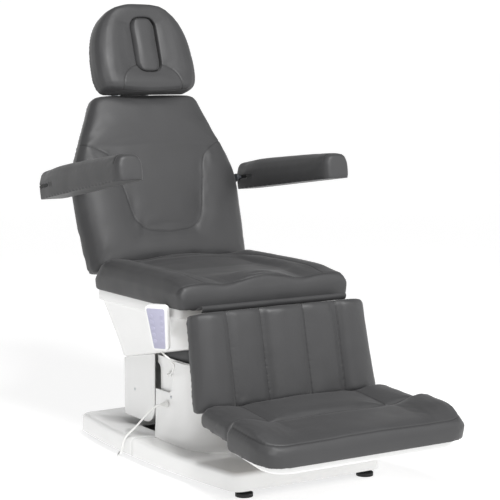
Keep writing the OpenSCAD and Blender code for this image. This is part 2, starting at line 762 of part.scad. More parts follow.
// Half width of the middle panel: a tongue with a round lower end that flares out at the shoulders
function back_seam(l) = l < 88 ? 0 : l < 160 ? 135 * root(1 - pow((160 - l) / 72, 2), 2)
    : 135 + 20 * ease(160, 300, l) + 110 * pow(max(0, l - 290) / 110, 2);
function back_rise(x, l) = 8 * (1 - pow(2 * x / back_w, 2))
    - 10 * (1 - ease(-18, 18, abs(x) - back_seam(l))) * ease(80, 110, l) * (1 - 0.7 * ease(380, 470, l));
module back_cushion() {
    color(GREY) in_back() translate([0, back_t, back_low]) rotate([90, 0, 0])
        cushion(back_l, back_t, [24, 24], 16, function (y) back_half(y + back_low),
            function (x, y) back_rise(x, y + back_low), p = 7, m = 14);
}
module back_board() {
    top = back_l + back_low - 14;
    color(WOOD) in_back() translate([0, board_back, 0]) rotate([90, 0, 0]) linear_extrude(board_t)
        polygon([for (s = [1, -1], k = [0:3]) let (i = s > 0 ? k : 3 - k, l = [-16, elbow, shoulder, top][i])
            [s * (back_half(l) - 24), l]]);
}
module back_frame() {
    t = [board_back, board_back + back_tube];
    color(STEEL) in_back() difference() {
        union() {
            both_sides() box([lug_x + lug_t - tube_w, lug_x + lug_t], t, [-60, 500]);
            box([-lug_x + 20, lug_x - 20], [t[0], t[0] + 3], [-16, 500]);
            box([-lug_x, lug_x], t, [476, 500]);
            box([-bracket_x, bracket_x], t, [arm_axis[2] - 15, arm_axis[2] + 15]);
            box([-lug_x - 10, lever_x + 6], [t[0] + 7, t[1]], [-60, -42]);
            both_sides() across(lug_x, lug_x + lug_t) hull() {
                translate([back_axis[1], back_axis[2]]) circle(14, $fn = 32);
                translate([t[0] + 7, -60]) square([18, 18]);
            }
            translate([0, back_axis[1], back_axis[2]]) rotate([back_a, 0, 0])
                across(lever_x - lever_t / 2, lever_x + lever_t / 2)
                lever_shape(back_drop, back_swing, back_free, [42, -18], [20, 16]);
        }
        translate(back_axis) cross_pin(-300, 300, pin_r + fit);
    }
}
module head_sockets() {
    color(STEEL) in_back() both_sides() translate([post_x, post_t, 430]) difference() {
        union() {
            cylinder(r = 12, h = 100);
            box([-12, 12], [board_back + back_tube - post_t, 0], [40, 70]);
        }
        translate([0, 0, -1]) cylinder(r = post_r + fit, h = 200);
    }
}
module arm_bracket(side) {
    x = bracket_x;
    color(STEEL) in_back() mirror([side > 0 ? 0 : 1, 0, 0]) {
        across(x, x + 7) hull() {
            translate([arm_axis[1], arm_axis[2]]) circle(13, $fn = 32);
            translate([board_back, arm_axis[2] - 15]) square([back_tube, 30]);
        }
        translate(arm_axis) cross_pin(x + 6, arm_x + 30, arm_pin_r);
    }
}
module arm_bracket_left() {
    arm_bracket(1);
}
module arm_bracket_right() {
    arm_bracket(-1);
}
// Arms: a bush and tongue inside a slit at the rear of the pad
module arm_core(side) {
    color(STEEL) in_arm(side) difference() {
        union() {
            cross_pin(-34, 34, 10);
            box([-34, 34], [-80, -6], [-tongue_t / 2, tongue_t / 2]);
        }
        cross_pin(-50, 50, arm_pin_r + fit);
    }
}
module arm_core_left() {
    arm_core(1);
}
module arm_core_right() {
    arm_core(-1);
}
function arm_half(y) = arm_w / 2 - 5 * ease(arm_l - 140, arm_l, y) - 4 * (1 - y / arm_l);
function arm_rise(y) = -18 * (1 - y / arm_l) - 4 * ease(arm_l - 130, arm_l, y);
module arm_pad(side) {
    color(GREY) in_arm(side) difference() {
        translate([0, arm_rear - arm_l, arm_low]) cushion(arm_l, arm_t, [30, 14], 18,
            function (y) arm_half(y), function (x, y) arm_rise(y), p = 3.4, n = 10, m = 8, draw = 4);
        h = tongue_t / 2 + gap;
        across(-100, 100) polygon([[arm_rear + 5, 13], [-14, 12], [-44, h], [-86, h], [-86, -h], [-44, -h],
            [-14, -12], [arm_rear + 5, -13]]);
    }
}
module arm_pad_left() {
    arm_pad(1);
}
module arm_pad_right() {
    arm_pad(-1);
}

// Headrest: posts slide in the sockets, the pad tilts on a cross pin
module head_yoke() {
    ear = 50;
    color("silver") in_back() difference() {
        union() {
            both_sides() translate([post_x, post_t, 390]) cylinder(r = post_r, h = head_axis[2] - 390);
            box([-post_x - 12, post_x + 12], [post_t - 10, post_t + 10],
                [head_axis[2] - 12, head_axis[2] + 12]);
            both_sides() across(ear, ear + 8) hull() {
                translate([head_axis[1], head_axis[2]]) circle(11, $fn = 32);
                translate([post_t - 10, head_axis[2] - 12]) square([10, 24]);
            }
        }
        translate(head_axis) cross_pin(-100, 100, 5 + fit);
    }
}
module head_pin() {
    color("silver") in_back() translate(head_axis) {
        cross_pin(-62, 62, 5);
        cross_pin(62, 65, 8);
    }
}
module head_board() {
    color(BLACK) in_back() difference() {
        union() {
            translate([0, head_back + board_t, head_low]) rotate([90, 0, 0]) linear_extrude(board_t)
            difference() {
                hull() {
                    translate([0, head_l - 150]) circle(head_w / 2 - 40, $fn = 32);
                    translate([-100, 20]) square([200, 40]);
                }
                plug_shape(4);
            }
            box([-46, 46], [head_back + board_t, head_axis[1]], [head_axis[2] - 8, head_axis[2] + 8]);
            translate(head_axis) cross_pin(-46, 46, 11);
        }
        translate(head_axis) cross_pin(-100, 100, 5 + fit);
    }
}
module plug_shape(grow) {
    translate([0, plug_mid]) hull() for (x = [-1, 1], y = [-1, 1])
        translate([x * (plug_w / 2 - plug_r), y * (plug_l / 2 - plug_r)]) circle(plug_r + grow, $fn = 48);
}
// Half width of the headrest: upright sides with a round top
function head_half(y) = let (k = 60, p = 2.6)
    y < k ? head_w / 2 - 11 * (1 - ease(0, k, y))
        : head_w / 2 * root(1 - pow((y - k) / (head_l - k + 6), p), p);
function head_rise(x, y) = 8 - 12 * (1 - ease(60, 150, abs(x))) * ease(20, 90, y) * (1 - ease(220, 300, y));
module head_cushion() {
    color(GREY) in_back() translate([0, head_back, head_low]) rotate([90, 0, 0]) difference() {
        cushion(head_l, head_t, [26, 22], 26, function (y) head_half(y), function (x, y) head_rise(x, y),
            p = 5, n = 16, m = 12);
        translate([0, 0, -20]) linear_extrude(200) plug_shape(0.7);
    }
}
module face_plug() {
    r = plug_r;
    color(GREY) in_back() translate([0, head_back - 4, head_low + plug_mid - plug_l / 2]) rotate([90, 0, 0])
        cushion(plug_l, head_t - 8, [10, 10], 3, function (y) let (d = max(r - y, y - plug_l + r, 0))
            plug_w / 2 - r + r * root(1 - pow(d / (r + 1), 2), 2), function (x, y) 4,
            p = 6, n = 8, m = 10, draw = 2);
}

// Calf section
function leg_rise(x) = 9 * (bump(x, 0, 60) + bump(abs(x), 240, 44))
    - 9 * (bump(abs(x), 79, 15) + bump(abs(x), 190, 15));
module leg_cushion() {
    l = leg_top - leg_end;
    color(GREY) in_leg() translate([0, leg_back, leg_end]) rotate([90, 0, 0])
        cushion(l, leg_t, [20, 18], 12, function (y) leg_w / 2 + 14 * (1 - y / l),
            function (x, y) leg_rise(x), n = 32, m = 6);
}
module leg_board() {
    color(WOOD) in_leg() box([-270, 270], [leg_back, leg_board_back], [leg_end + 10, -6]);
}
module leg_frame() {
    t = [leg_board_back, leg_board_back + leg_tube];
    color(STEEL) in_leg() difference() {
        union() {
            both_sides() box([lug_x + lug_t - tube_w, lug_x + lug_t], t, [leg_end - 6, -16]);
            box([-lug_x + 20, lug_x - 20], [t[0], t[0] + 3], [leg_end + 10, -16]);
            box([-lever_x - 6, -lug_x], t, [-44, -20]);
            both_sides() across(lug_x, lug_x + lug_t) {
                hull() {
                    circle(12, $fn = 32);
                    translate([t[0], -34]) square([leg_tube, 18]);
                }
                hull() {
                    translate([foot_axis[1], foot_axis[2]]) circle(10.5, $fn = 32);
                    translate([t[0], leg_end - 24]) square([leg_tube, 20]);
                }
            }
            rotate([leg_a, 0, 0]) across(-lever_x - lever_t / 2, lever_t / 2 - lever_x)
                lever_shape(leg_drop, leg_swing, leg_free, [-4, -32], [20, 20]);
        }
        cross_pin(-300, 300, pin_r + fit);
        translate(foot_axis) cross_pin(-300, 300, 5 + fit);
    }
}
module foot_pins() {
    color("silver") in_leg() translate(foot_axis) both_sides() {
        cross_pin(lug_x - 2, foot_arm_x + ear_t + 0.2, 5);
        cross_pin(foot_arm_x + ear_t + 0.2, foot_arm_x + ear_t + 3.2, 8);
    }
}

// Foot section
function foot_half(y) = foot_w / 2 - 20 + 12 * (foot_start - y) / (foot_start - foot_split);
module foot_frame() {
    z = [foot_tube_top - foot_tube_h, foot_tube_top];
    color(STEEL) in_foot() difference() {
        union() {
            both_sides() box([foot_x - 15, foot_x + 15], [foot_split + 3, foot_start - 6], z);
            both_sides() across(foot_arm_x, foot_arm_x + ear_t) hull() {
                circle(10.5, $fn = 32);
                translate([foot_start - 11, z[0]]) square([14, foot_tube_h]);
            }
            box([15 - foot_x, foot_x - 15], [foot_split + 60, foot_start - 40], [z[1] - 3, z[1]]);
        }
        both_sides() box([foot_x - 12, foot_x + 12], [foot_split - 1, foot_start - 12], [z[0] + 3, z[1] - 3]);
        cross_pin(-300, 300, 5 + fit);
    }
}
module foot_rear_board() {
    color(WOOD) in_foot() box([-282, 282], [foot_split + 8, foot_start - 18], [foot_tube_top, foot_rear_bot]);
}
function foot_rise(x) = 7 * bump(x, 0, 120) + 16 * bump(abs(x), 315, 60) - 8 * bump(abs(x), 205, 18);
module foot_rear_cushion() {
    l = foot_start - foot_split - 1;
    color(GREY) in_foot() translate([0, foot_split + 1, foot_rear_bot])
        cushion(l, foot_rear_t, [14, 14], 8, function (y) foot_half(y + foot_split),
            function (x, y) foot_rise(x), n = 26, m = 4);
}
module foot_slide_rods() {
    z = [foot_tube_top - foot_tube_h + 3 + slide, foot_tube_top - 3 - slide];
    color("silver") in_foot() both_sides()
        box([foot_x - 12 + slide, foot_x + 12 - slide], [foot_split - foot_front_l + 30, foot_start - 16], z);
}
module foot_tray() {
    h = foot_front_bot - (foot_tube_top - foot_tube_h) + wall;
    w = foot_w / 2 - 28;
    l = foot_front_l - 14;
    color(WHITE) in_foot() translate([0, foot_split - 2, foot_front_bot - h]) difference() {
        linear_extrude(h) foot_plan(w, l, 70);
        difference() {
            translate([0, 0, wall]) linear_extrude(h) foot_plan(w - wall, l - wall, 66);
            both_sides() for (y = [0.3, 0.8]) box([foot_x - 16, foot_x + 16], [-y * l - 10, 10 - y * l],
                [0, wall + 3 + slide]);
        }
        both_sides() box([foot_x - 14, foot_x + 14], [-20, 10], [wall, h + 1]);
    }
}
module foot_plan(w, l, r) {
    hull() {
        for (s = [-1, 1]) translate([s * (w - r), r - l]) circle(r, $fn = 32);
        translate([-w + 8, -4]) square([2 * w - 16, 4]);
    }
}
// Front foot cushion: raised ears at the sides, round front corners
function toe_rise(x, y) = 32 * ease(200, 330, abs(x)) * ease(10, 110, y) + 4 * bump(x, 0, 140);
module foot_front_cushion() {
    color(GREY) in_foot() translate([0, foot_split - foot_front_l - 2, foot_front_bot])
        cushion(foot_front_l, foot_front_t, [26, 20], 36,
            function (y) foot_w / 2 - 34 * pow(1 - min(1, y / 90), 2),
            function (x, y) toe_rise(x, y), p = 8, n = 26, m = 6);
}

base_frame();
base_cover_front();
base_cover_rear();
foot_studs();
foot_pads();
column_boot();
column_outer();
lift_motor();
control_box();
mains_gland();
mains_cord();
mains_coil();
mains_plug();
column_middle();
column_inner();
lift_head();
seat_frame();
seat_board();
seat_cushion();
seat_tub();
column_rear_cover();
column_sleeve();
hinge_ears();
hinge_pins();
back_actuator();
leg_actuator();
handset_hook();
handset_case();
handset_keypad();
cord_grommet();
handset_cord();
gap_flap();
back_frame();
back_board();
back_cushion();
head_sockets();
arm_bracket_left();
arm_bracket_right();
back_rod();
leg_frame();
leg_board();
leg_cushion();
foot_pins();
leg_rod();
foot_frame();
foot_rear_board();
foot_rear_cushion();
foot_slide_rods();
foot_tray();
foot_front_cushion();
head_yoke();
head_pin();
head_board();
head_cushion();
face_plug();
arm_core_left();
arm_pad_left();
arm_core_right();
arm_pad_right();
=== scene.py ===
# %% [markdown]
# # A facial treatment bed
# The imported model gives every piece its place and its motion. This lesson dresses it: soft pads sewn from
# leatherette, glossy moulded covers, steel parts and two cords. All lengths are in metres, with +Z up and
# the foot end of the bed towards -Y. Sizes of the real bed are written in millimetres times MM.

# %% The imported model
import json
import math
import bmesh
import bpy
import numpy as np
from mathutils import Matrix, Vector, noise

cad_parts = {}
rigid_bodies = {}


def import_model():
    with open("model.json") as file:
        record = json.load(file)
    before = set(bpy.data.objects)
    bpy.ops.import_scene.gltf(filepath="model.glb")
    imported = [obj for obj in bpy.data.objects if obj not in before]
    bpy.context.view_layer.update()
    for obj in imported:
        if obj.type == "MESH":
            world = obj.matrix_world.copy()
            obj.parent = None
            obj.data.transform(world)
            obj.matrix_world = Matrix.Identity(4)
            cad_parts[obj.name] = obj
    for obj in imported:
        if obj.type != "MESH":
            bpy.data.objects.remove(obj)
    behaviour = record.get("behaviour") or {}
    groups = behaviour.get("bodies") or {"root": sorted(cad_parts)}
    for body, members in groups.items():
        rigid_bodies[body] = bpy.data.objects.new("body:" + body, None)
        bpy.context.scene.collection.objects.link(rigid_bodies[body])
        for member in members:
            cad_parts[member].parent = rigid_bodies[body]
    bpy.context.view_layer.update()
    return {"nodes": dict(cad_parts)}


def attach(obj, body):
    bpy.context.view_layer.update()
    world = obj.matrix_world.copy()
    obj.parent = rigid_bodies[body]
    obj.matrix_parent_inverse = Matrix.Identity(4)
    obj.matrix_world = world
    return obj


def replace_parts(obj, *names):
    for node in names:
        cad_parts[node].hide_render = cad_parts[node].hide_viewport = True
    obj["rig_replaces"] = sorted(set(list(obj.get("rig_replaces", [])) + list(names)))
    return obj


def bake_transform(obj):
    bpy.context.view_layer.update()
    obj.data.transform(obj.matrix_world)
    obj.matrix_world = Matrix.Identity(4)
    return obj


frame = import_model()
MM = 0.001
nodes = frame["nodes"]
scene = bpy.context.scene

# %% [markdown]
# ## The camera
# The picture was taken from the foot end, a little to the sitter's right, at chest height with a long lens.
# A camera turned by yaw and pitch gives that view; the lens is worked out for a square picture.


# %% Camera
def placed(name, data):
    """A new object of the given data, in the scene."""
    made = bpy.data.objects.new(name, data)
    scene.collection.objects.link(made)
    return made


YAW, PITCH, LENS, SENSOR = 32.679, -6.755, 115.2, 36.0
camera = placed("camera", bpy.data.cameras.new("camera"))
camera.location = (-2.627, -4.172, 1.245)
camera.rotation_euler = (math.radians(90 + PITCH), 0, math.radians(-YAW))
camera.data.lens, camera.data.sensor_width = LENS, SENSOR
scene.camera = camera
print("lens", LENS, "mm, turned by", YAW, "degrees")

# %% [markdown]
# ## Finishes
# Every finish is a small node tree on Object coordinates, so a pattern keeps its real size on every piece.
# One function adds a node, sets its properties and either sets or links its sockets. Colours are written as
# sRGB hex values, as a paint chart gives them, and turned to linear light.


# %% Helpers for finishes
def colour(text):
    """An sRGB hex colour as linear light."""
    rgb = [int(text[i:i + 2], 16) / 255 for i in (1, 3, 5)]
    return [c / 12.92 if c <= 0.04045 else ((c + 0.055) / 1.055) ** 2.4 for c in rgb] + [1.0]


def add(tree, kind, settings=None, sockets=None):
    """Adds a shader node; a socket's value is either set or, when it is another socket, linked."""
    made = tree.nodes.new("ShaderNode" + kind)
    for name, value in (settings or {}).items():
        setattr(made, name, value)
    for name, value in (sockets or {}).items():
        if isinstance(value, bpy.types.NodeSocket):
            tree.links.new(value, made.inputs[name])
        else:
            made.inputs[name].default_value = value
    return made


def new_finish(name, **sockets):
    """A material with its shader's sockets set, its node tree and the object's own coordinates."""
    finish = bpy.data.materials.new(name)
    finish.use_nodes = True
    shader = finish.node_tree.nodes["Principled BSDF"]
    for key, value in sockets.items():
        shader.inputs[key.replace("_", " ")].default_value = value
    place = add(finish.node_tree, "TexCoord").outputs["Object"]
    return finish, finish.node_tree, shader, place


def mottled(tree, place, shader, size, dark, light, rough_low, rough_high):
    """Slow drift of colour and gloss over patches of the given size."""
    patch = add(tree, "TexNoise", None, {"Vector": place, "Scale": 1 / size, "Detail": 3.0})
    tint = add(tree, "MixRGB", None, {0: patch.outputs["Fac"], 1: colour(dark), 2: colour(light)})
    gloss = add(tree, "MapRange", None, {"Value": patch.outputs["Fac"], "From Min": 0.3, "From Max": 0.7,
                                         "To Min": rough_low, "To Max": rough_high})
    tree.links.new(gloss.outputs["Result"], shader.inputs["Roughness"])
    tree.links.new(tint.outputs["Color"], shader.inputs["Base Color"])
    return tint


def raised(tree, shader, height, depth, strength, below=None):
    """Fine relief: a height pattern with its real depth, on top of an earlier relief."""
    sockets = {"Height": height, "Distance": depth, "Strength": strength}
    if below is not None:
        sockets["Normal"] = below.outputs["Normal"]
    bump = add(tree, "Bump", None, sockets)
    tree.links.new(bump.outputs["Normal"], shader.inputs["Normal"])
    return bump


# %% [markdown]
# ### Leatherette
# PU-coated cloth, embossed with a fine pebble grain of about 1 mm and sewn in panels. The eye gets a dull
# sheen that breaks up at the grain, and faint creases. Shade is painted into its colour: darker along the seam
# grooves, inside the arm slits and on the pads' undersides. The grain is drawn 1.8 mm wide so that it shows in
# a picture of the whole bed.

# %% Leatherette
leatherette, tree, shader, place = new_finish("leatherette_pu", IOR=1.5, Sheen_Weight=0.12,
                                              Sheen_Roughness=0.4)
tint = mottled(tree, place, shader, 70 * MM, "#323233", "#39393a", 0.5, 0.6)
# The "seam" attribute is painted shade: it mixes the colour towards #1b1b1c in seam grooves, inside the arm
# slits and on the pads' undersides.
seam = add(tree, "Attribute", {"attribute_name": "seam"})
painted_shade_mix = add(tree, "MixRGB", None, {0: seam.outputs["Fac"], 1: tint.outputs["Color"], 2: colour("#1b1b1c")})
tree.links.new(painted_shade_mix.outputs["Color"], shader.inputs["Base Color"])
pebble = add(tree, "TexVoronoi", {"feature": "SMOOTH_F1"}, {"Vector": place, "Scale": 1 / (1.8 * MM)})
crease = add(tree, "TexNoise", None, {"Vector": place, "Scale": 1 / (9 * MM), "Detail": 4.0,
                                      "Roughness": 0.6})
folds = raised(tree, shader, crease.outputs["Fac"], 0.5 * MM, 0.25)
raised(tree, shader, pebble.outputs["Distance"], 0.25 * MM, 0.35, folds)
print("leatherette:", len(tree.nodes), "nodes")

# %% [markdown]
# ### Moulded plastics
# The covers are glossy white ABS. Injection moulding leaves a very slight waviness in the reflections and
# an even colour. The handset's key mat is a matt lavender silicone, and the feet are black rubber.

# %% Plastics
white_abs, tree, shader, place = new_finish("white_moulded_abs", IOR=1.52, Coat_Weight=0.25,
                                            Coat_Roughness=0.08)
mottled(tree, place, shader, 160 * MM, "#e9e9e8", "#efefee", 0.2, 0.27)
wavy = add(tree, "TexNoise", None, {"Vector": place, "Scale": 1 / (14 * MM), "Detail": 1.0})
raised(tree, shader, wavy.outputs["Fac"], 0.12 * MM, 0.2)

black_rubber, tree, shader, place = new_finish("black_rubber", IOR=1.5)
mottled(tree, place, shader, 20 * MM, "#141415", "#1d1d1e", 0.55, 0.7)
grit = add(tree, "TexNoise", None, {"Vector": place, "Scale": 1 / (0.8 * MM), "Detail": 2.0})
raised(tree, shader, grit.outputs["Fac"], 0.15 * MM, 0.5)

black_abs, tree, shader, place = new_finish("black_spark_eroded_abs", IOR=1.5)
mottled(tree, place, shader, 40 * MM, "#1b1c1e", "#242528", 0.4, 0.5)
spark = add(tree, "TexVoronoi", None, {"Vector": place, "Scale": 1 / (0.9 * MM)})
raised(tree, shader, spark.outputs["Distance"], 0.1 * MM, 0.3)

key_mat, tree, shader, place = new_finish("lavender_silicone", IOR=1.43)
mottled(tree, place, shader, 30 * MM, "#a9a8be", "#b6b5c8", 0.5, 0.6)

cord_pvc, tree, shader, place = new_finish("white_pvc_sheath", IOR=1.53)
mottled(tree, place, shader, 25 * MM, "#e6e6e4", "#f0f0ee", 0.35, 0.45)

# %% [markdown]
# ### Steel and wood
# The frames are powder-coated steel with the coating's fine orange peel. Pins, rods and posts are bright
# zinc-plated steel with short drawing lines. The boards under the pads are birch plywood.

# %% Steel and wood
coated_steel, tree, shader, place = new_finish("powder_coated_steel", Metallic=0.0, IOR=1.5)
mottled(tree, place, shader, 60 * MM, "#3b3d41", "#45474b", 0.42, 0.52)
peel = add(tree, "TexNoise", None, {"Vector": place, "Scale": 1 / (1.4 * MM), "Detail": 2.0})
raised(tree, shader, peel.outputs["Fac"], 0.12 * MM, 0.4)

zinc_steel, tree, shader, place = new_finish("zinc_plated_steel", Metallic=1.0)
mottled(tree, place, shader, 18 * MM, "#a9adb0", "#c3c6c8", 0.24, 0.36)
lines = add(tree, "Mapping", None, {"Vector": place,
                                    "Scale": (1 / (40 * MM), 1 / (0.7 * MM), 1 / (0.7 * MM))})
drawn = add(tree, "TexNoise", None, {"Vector": lines.outputs["Vector"], "Scale": 1.0, "Detail": 2.0})
raised(tree, shader, drawn.outputs["Fac"], 0.05 * MM, 0.3)

plywood, tree, shader, place = new_finish("birch_plywood", IOR=1.5)
grain = add(tree, "Mapping", None, {"Vector": place, "Scale": (1 / (6 * MM), 1 / (90 * MM), 1 / (1.4 * MM))})
fibre = add(tree, "TexNoise", None, {"Vector": grain.outputs["Vector"], "Scale": 1.0, "Detail": 5.0})
timber = add(tree, "MixRGB", None, {0: fibre.outputs["Fac"], 1: colour("#a3978a"), 2: colour("#c4baad")})
tree.links.new(timber.outputs["Color"], shader.inputs["Base Color"])
raised(tree, shader, fibre.outputs["Fac"], 0.2 * MM, 0.4)
shader.inputs["Roughness"].default_value = 0.6
print("finishes:", len(bpy.data.materials))

# %% [markdown]
# ## The cords
# A cord is a fixed length of something flexible, so its centre line comes first. The points repeat the
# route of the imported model; a smooth curve goes through them. The mains lead leaves its gland, falls to the
# floor beside the base and runs under it to a small coil behind the bed, where its plug lies.


# %% Cord helpers
def smooth_line(points, steps, kind=Vector):
    """Points, or rows of numbers, along a smooth curve that passes through the given ones."""
    points = [kind(p) for p in points]
    out = []
    for i in range(len(points) - 1):
        a, b, c, d = (points[min(max(i + k, 0), len(points) - 1)] for k in (-1, 0, 1, 2))
        for s in range(steps):
            u = s / steps
            out.append(0.5 * (2 * b + (c - a) * u + (2 * a - 5 * b + 4 * c - d) * u ** 2
                              + (3 * b - a - 3 * c + d) * u ** 3))
    return out + [points[-1]]


def cord_piece(name, line, radius, body):
    """A round cord along a line of points."""
    data = bpy.data.curves.new(name, "CURVE")
    data.dimensions, data.bevel_depth, data.bevel_resolution = "3D", radius, 4
    data.use_fill_caps = True
    spline = data.splines.new("POLY")
    spline.points.add(len(line) - 1)
    for point, at in zip(spline.points, line):
        point.co = (*at, 1)
    piece = placed(name, data)
    data.materials.append(cord_pvc)
    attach(piece, body)
    return piece


def length_of(line):
    return sum((b - a).length for a, b in zip(line, line[1:]))


# %% Mains lead
MAINS_R, ON_FLOOR = 3.2 * MM, 4.2
mains_route = [(-226.5, 75, 186), (-232, 75, 186), (-236, 75, 186), (-250, 88, 175), (-268, 112, 145),
               (-287, 142, 106), (-301, 160, 85), (-310, 170, 64), (-312, 180, 36), (-312, 196, 13)]
mains_route += [(x, y, ON_FLOOR) for x, y in ((-304, 222), (-270, 265), (-170, 330), (-40, 400), (50, 470),
                                              (76, 550), (78, 628))]
COIL_X, COIL_Y, COIL_R, LOOPS, RISE, PER_LOOP = 40, 645, 38, 3.5, 7.4, 24
coil = [Vector((COIL_X + COIL_R, 636, ON_FLOOR))]
for i in range(int(LOOPS * PER_LOOP) + 1):
    a = math.radians(360 / PER_LOOP * i)
    coil.append(Vector((COIL_X + COIL_R * math.cos(a), COIL_Y + COIL_R * math.sin(a),
                        ON_FLOOR + RISE * i / PER_LOOP)))
tail = [(1, 628, 30.4), (-5, 608, 27), (-22, 592, 21), (-38, 588, 19.5), (-46, 588, 19.5)]
lead_line = [p * MM for p in smooth_line(mains_route, 5) + coil + smooth_line(coil[-1:] + tail, 4)[1:]]
mains_lead = cord_piece("mains_lead", lead_line, MAINS_R, "base")
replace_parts(mains_lead, "mains_cord", "mains_coil")
print("mains lead", round(length_of(lead_line), 3), "m")

# %% Handset cord
HANDSET_CORD = 5.2 * MM
handset_route = [(-306.4, -66.8, 386.9), (-305.6, -66.2, 383), (-305, -65.8, 380), (-299, -74, 370),
                 (-285, -80, 357), (-264, -66, 335), (-243, -18, 304), (-220, 46, 282), (-208, 71, 280),
                 (-204, 71, 280), (-200.4, 71, 280)]
handset_line = [p * MM for p in smooth_line(handset_route, 5)]
handset_cord = cord_piece("handset_lead", handset_line, HANDSET_CORD / 2, "carriage")
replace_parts(handset_cord, "handset_cord")
print("handset cord", round(length_of(handset_line), 3), "m")

# %% [markdown]
# ## Building pieces
# Moulded shells are lofts: a ring of points is extruded level by level, each new ring is set in place, and
# the wall gets its thickness afterwards. A small geometry node group shades every piece smoothly up to its
# sharp edges, and bevels take the knife edge off rims.

# %% Shading by angle
crisp = bpy.data.node_groups.new("smooth_up_to_edges", "GeometryNodeTree")
crisp.interface.new_socket("Geometry", in_out="INPUT", socket_type="NodeSocketGeometry")
crisp.interface.new_socket("Geometry", in_out="OUTPUT", socket_type="NodeSocketGeometry")
way_in, way_out = crisp.nodes.new("NodeGroupInput"), crisp.nodes.new("NodeGroupOutput")
faces_on = crisp.nodes.new("GeometryNodeSetShadeSmooth")
edges_off = crisp.nodes.new("GeometryNodeSetShadeSmooth")
edges_off.domain = "EDGE"
edges_off.inputs["Shade Smooth"].default_value = False
angle = crisp.nodes.new("GeometryNodeInputMeshEdgeAngle")
sharp = crisp.nodes.new("FunctionNodeCompare")
sharp.operation = "GREATER_THAN"
sharp.inputs[1].default_value = math.radians(35)
for a, b in ((way_in.outputs[0], faces_on.inputs[0]), (faces_on.outputs[0], edges_off.inputs[0]),
             (edges_off.outputs[0], way_out.inputs[0]), (angle.outputs[0], sharp.inputs[0]),
             (sharp.outputs[0], edges_off.inputs["Selection"])):
    crisp.links.new(a, b)
print("shading group:", len(crisp.nodes), "nodes")


# %% Finishing a piece
def shade(piece):
    piece.modifiers.new("shading", "NODES").node_group = crisp


def soften(piece, width):
    """A live bevel on the edges that turn by more than 40 degrees."""
    edge = piece.modifiers.new("edges", "BEVEL")
    edge.width, edge.segments, edge.limit_method = width, 2, "ANGLE"
    edge.angle_limit, edge.profile = math.radians(40), 0.5


def mesh_of(name, bm):
    """Turns a bmesh into a mesh and lets it go."""
    mesh = bpy.data.meshes.new(name)
    bm.to_mesh(mesh)
    bm.free()
    return mesh


def finish_piece(name, bm, finish, body, wall=None, round_by=None, replaces=(), core=None):
    """Makes a piece of a bmesh; core is a point inside an open shell, which its faces turn away from."""
    bmesh.ops.remove_doubles(bm, verts=bm.verts, dist=1e-6)
    bmesh.ops.recalc_face_normals(bm, faces=bm.faces)
    if core and sum(f.calc_area() * f.normal.dot(f.calc_center_median() - Vector(core))
                    for f in bm.faces) < 0:
        bmesh.ops.reverse_faces(bm, faces=bm.faces)
    mesh = mesh_of(name, bm)
    mesh.materials.append(finish)
    piece = placed(name, mesh)
    if wall:
        skin = piece.modifiers.new("wall", "SOLIDIFY")
        skin.thickness, skin.offset, skin.use_even_offset = wall, -1, True
    if round_by:
        soften(piece, round_by)
    shade(piece)
    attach(piece, body)
    if replaces:
        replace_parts(piece, *replaces)
    return piece


WALL = 4 * MM


def moulding(name, bm, body, node, core, round_by=None):
    """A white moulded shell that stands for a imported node."""
    return finish_piece(name, bm, white_abs, body, WALL, round_by, [node], core)


# %% Shaping helpers
def loft(rings, closed=True):
    """Extrudes a ring of points, in millimetres, level by level to each following ring."""
    bm = bmesh.new()
    ring = [bm.verts.new(Vector(p) * MM) for p in rings[0]]
    for level in rings[1:]:
        pairs = zip(ring, ring[1:] + ring[:1] if closed else ring[1:])
        edges = [bm.edges.get(pair) or bm.edges.new(pair) for pair in pairs]
        fresh = set(bmesh.ops.extrude_edge_only(bm, edges=edges)["geom"])
        ring = [next(e.other_vert(v) for e in v.link_edges if e.other_vert(v) in fresh) for v in ring]
        for vert, at in zip(ring, level):
            vert.co = Vector(at) * MM
    return bm


def box_mesh(bm, low, high):
    """A box from its two corners, in millimetres."""
    low, high = Vector(low) * MM, Vector(high) * MM
    made = bmesh.ops.create_cube(bm, size=1)["verts"]
    bmesh.ops.scale(bm, vec=high - low, verts=made)
    bmesh.ops.translate(bm, vec=(low + high) / 2, verts=made)


def chain(bm, points):
    """A row of points joined by edges: its vertices and its edges."""
    line = [bm.verts.new(p) for p in points]
    return line, [bm.edges.new(pair) for pair in zip(line, line[1:])]


def spin_round(bm, points, axis, steps):
    """Spins a row of points through a full turn."""
    line, edges = chain(bm, points)
    bmesh.ops.spin(bm, geom=line + edges, cent=(0, 0, 0), axis=axis, angle=2 * math.pi, steps=steps,
                   use_merge=True)


def only(kind, geom):
    return [g for g in geom if isinstance(g, kind)]


def raise_face(bm, face, by):
    """Extrudes a face along a vector."""
    made = bmesh.ops.extrude_face_region(bm, geom=[face])["geom"]
    bmesh.ops.translate(bm, vec=by, verts=only(bmesh.types.BMVert, made))


def bevel_edges(bm, edges, radius, segments):
    bmesh.ops.bevel(bm, geom=edges, offset=radius, offset_type="OFFSET", affect="EDGES", segments=segments,
                    profile=0.5, material=-1)


def arc(x, y, r, first, last, count):
    """Points on an arc about (x, y), between two angles in degrees."""
    return [(x + r * math.cos(a), y + r * math.sin(a)) for a in np.radians(np.linspace(first, last, count))]


def onto_window(x, y, middle, half_x, half_y):
    """Where the line from a window's middle to a point meets the window's edge."""
    reach = min(half_x / max(abs(x), 1e-6), half_y / max(abs(y - middle), 1e-6))
    return x * reach, middle + (y - middle) * reach


# %% Cutting helpers
def settle(piece):
    """Applies the modifiers that a piece has so far."""
    graph = bpy.context.evaluated_depsgraph_get()
    mesh = bpy.data.meshes.new_from_object(piece.evaluated_get(graph))
    piece.modifiers.clear()
    piece.data = mesh


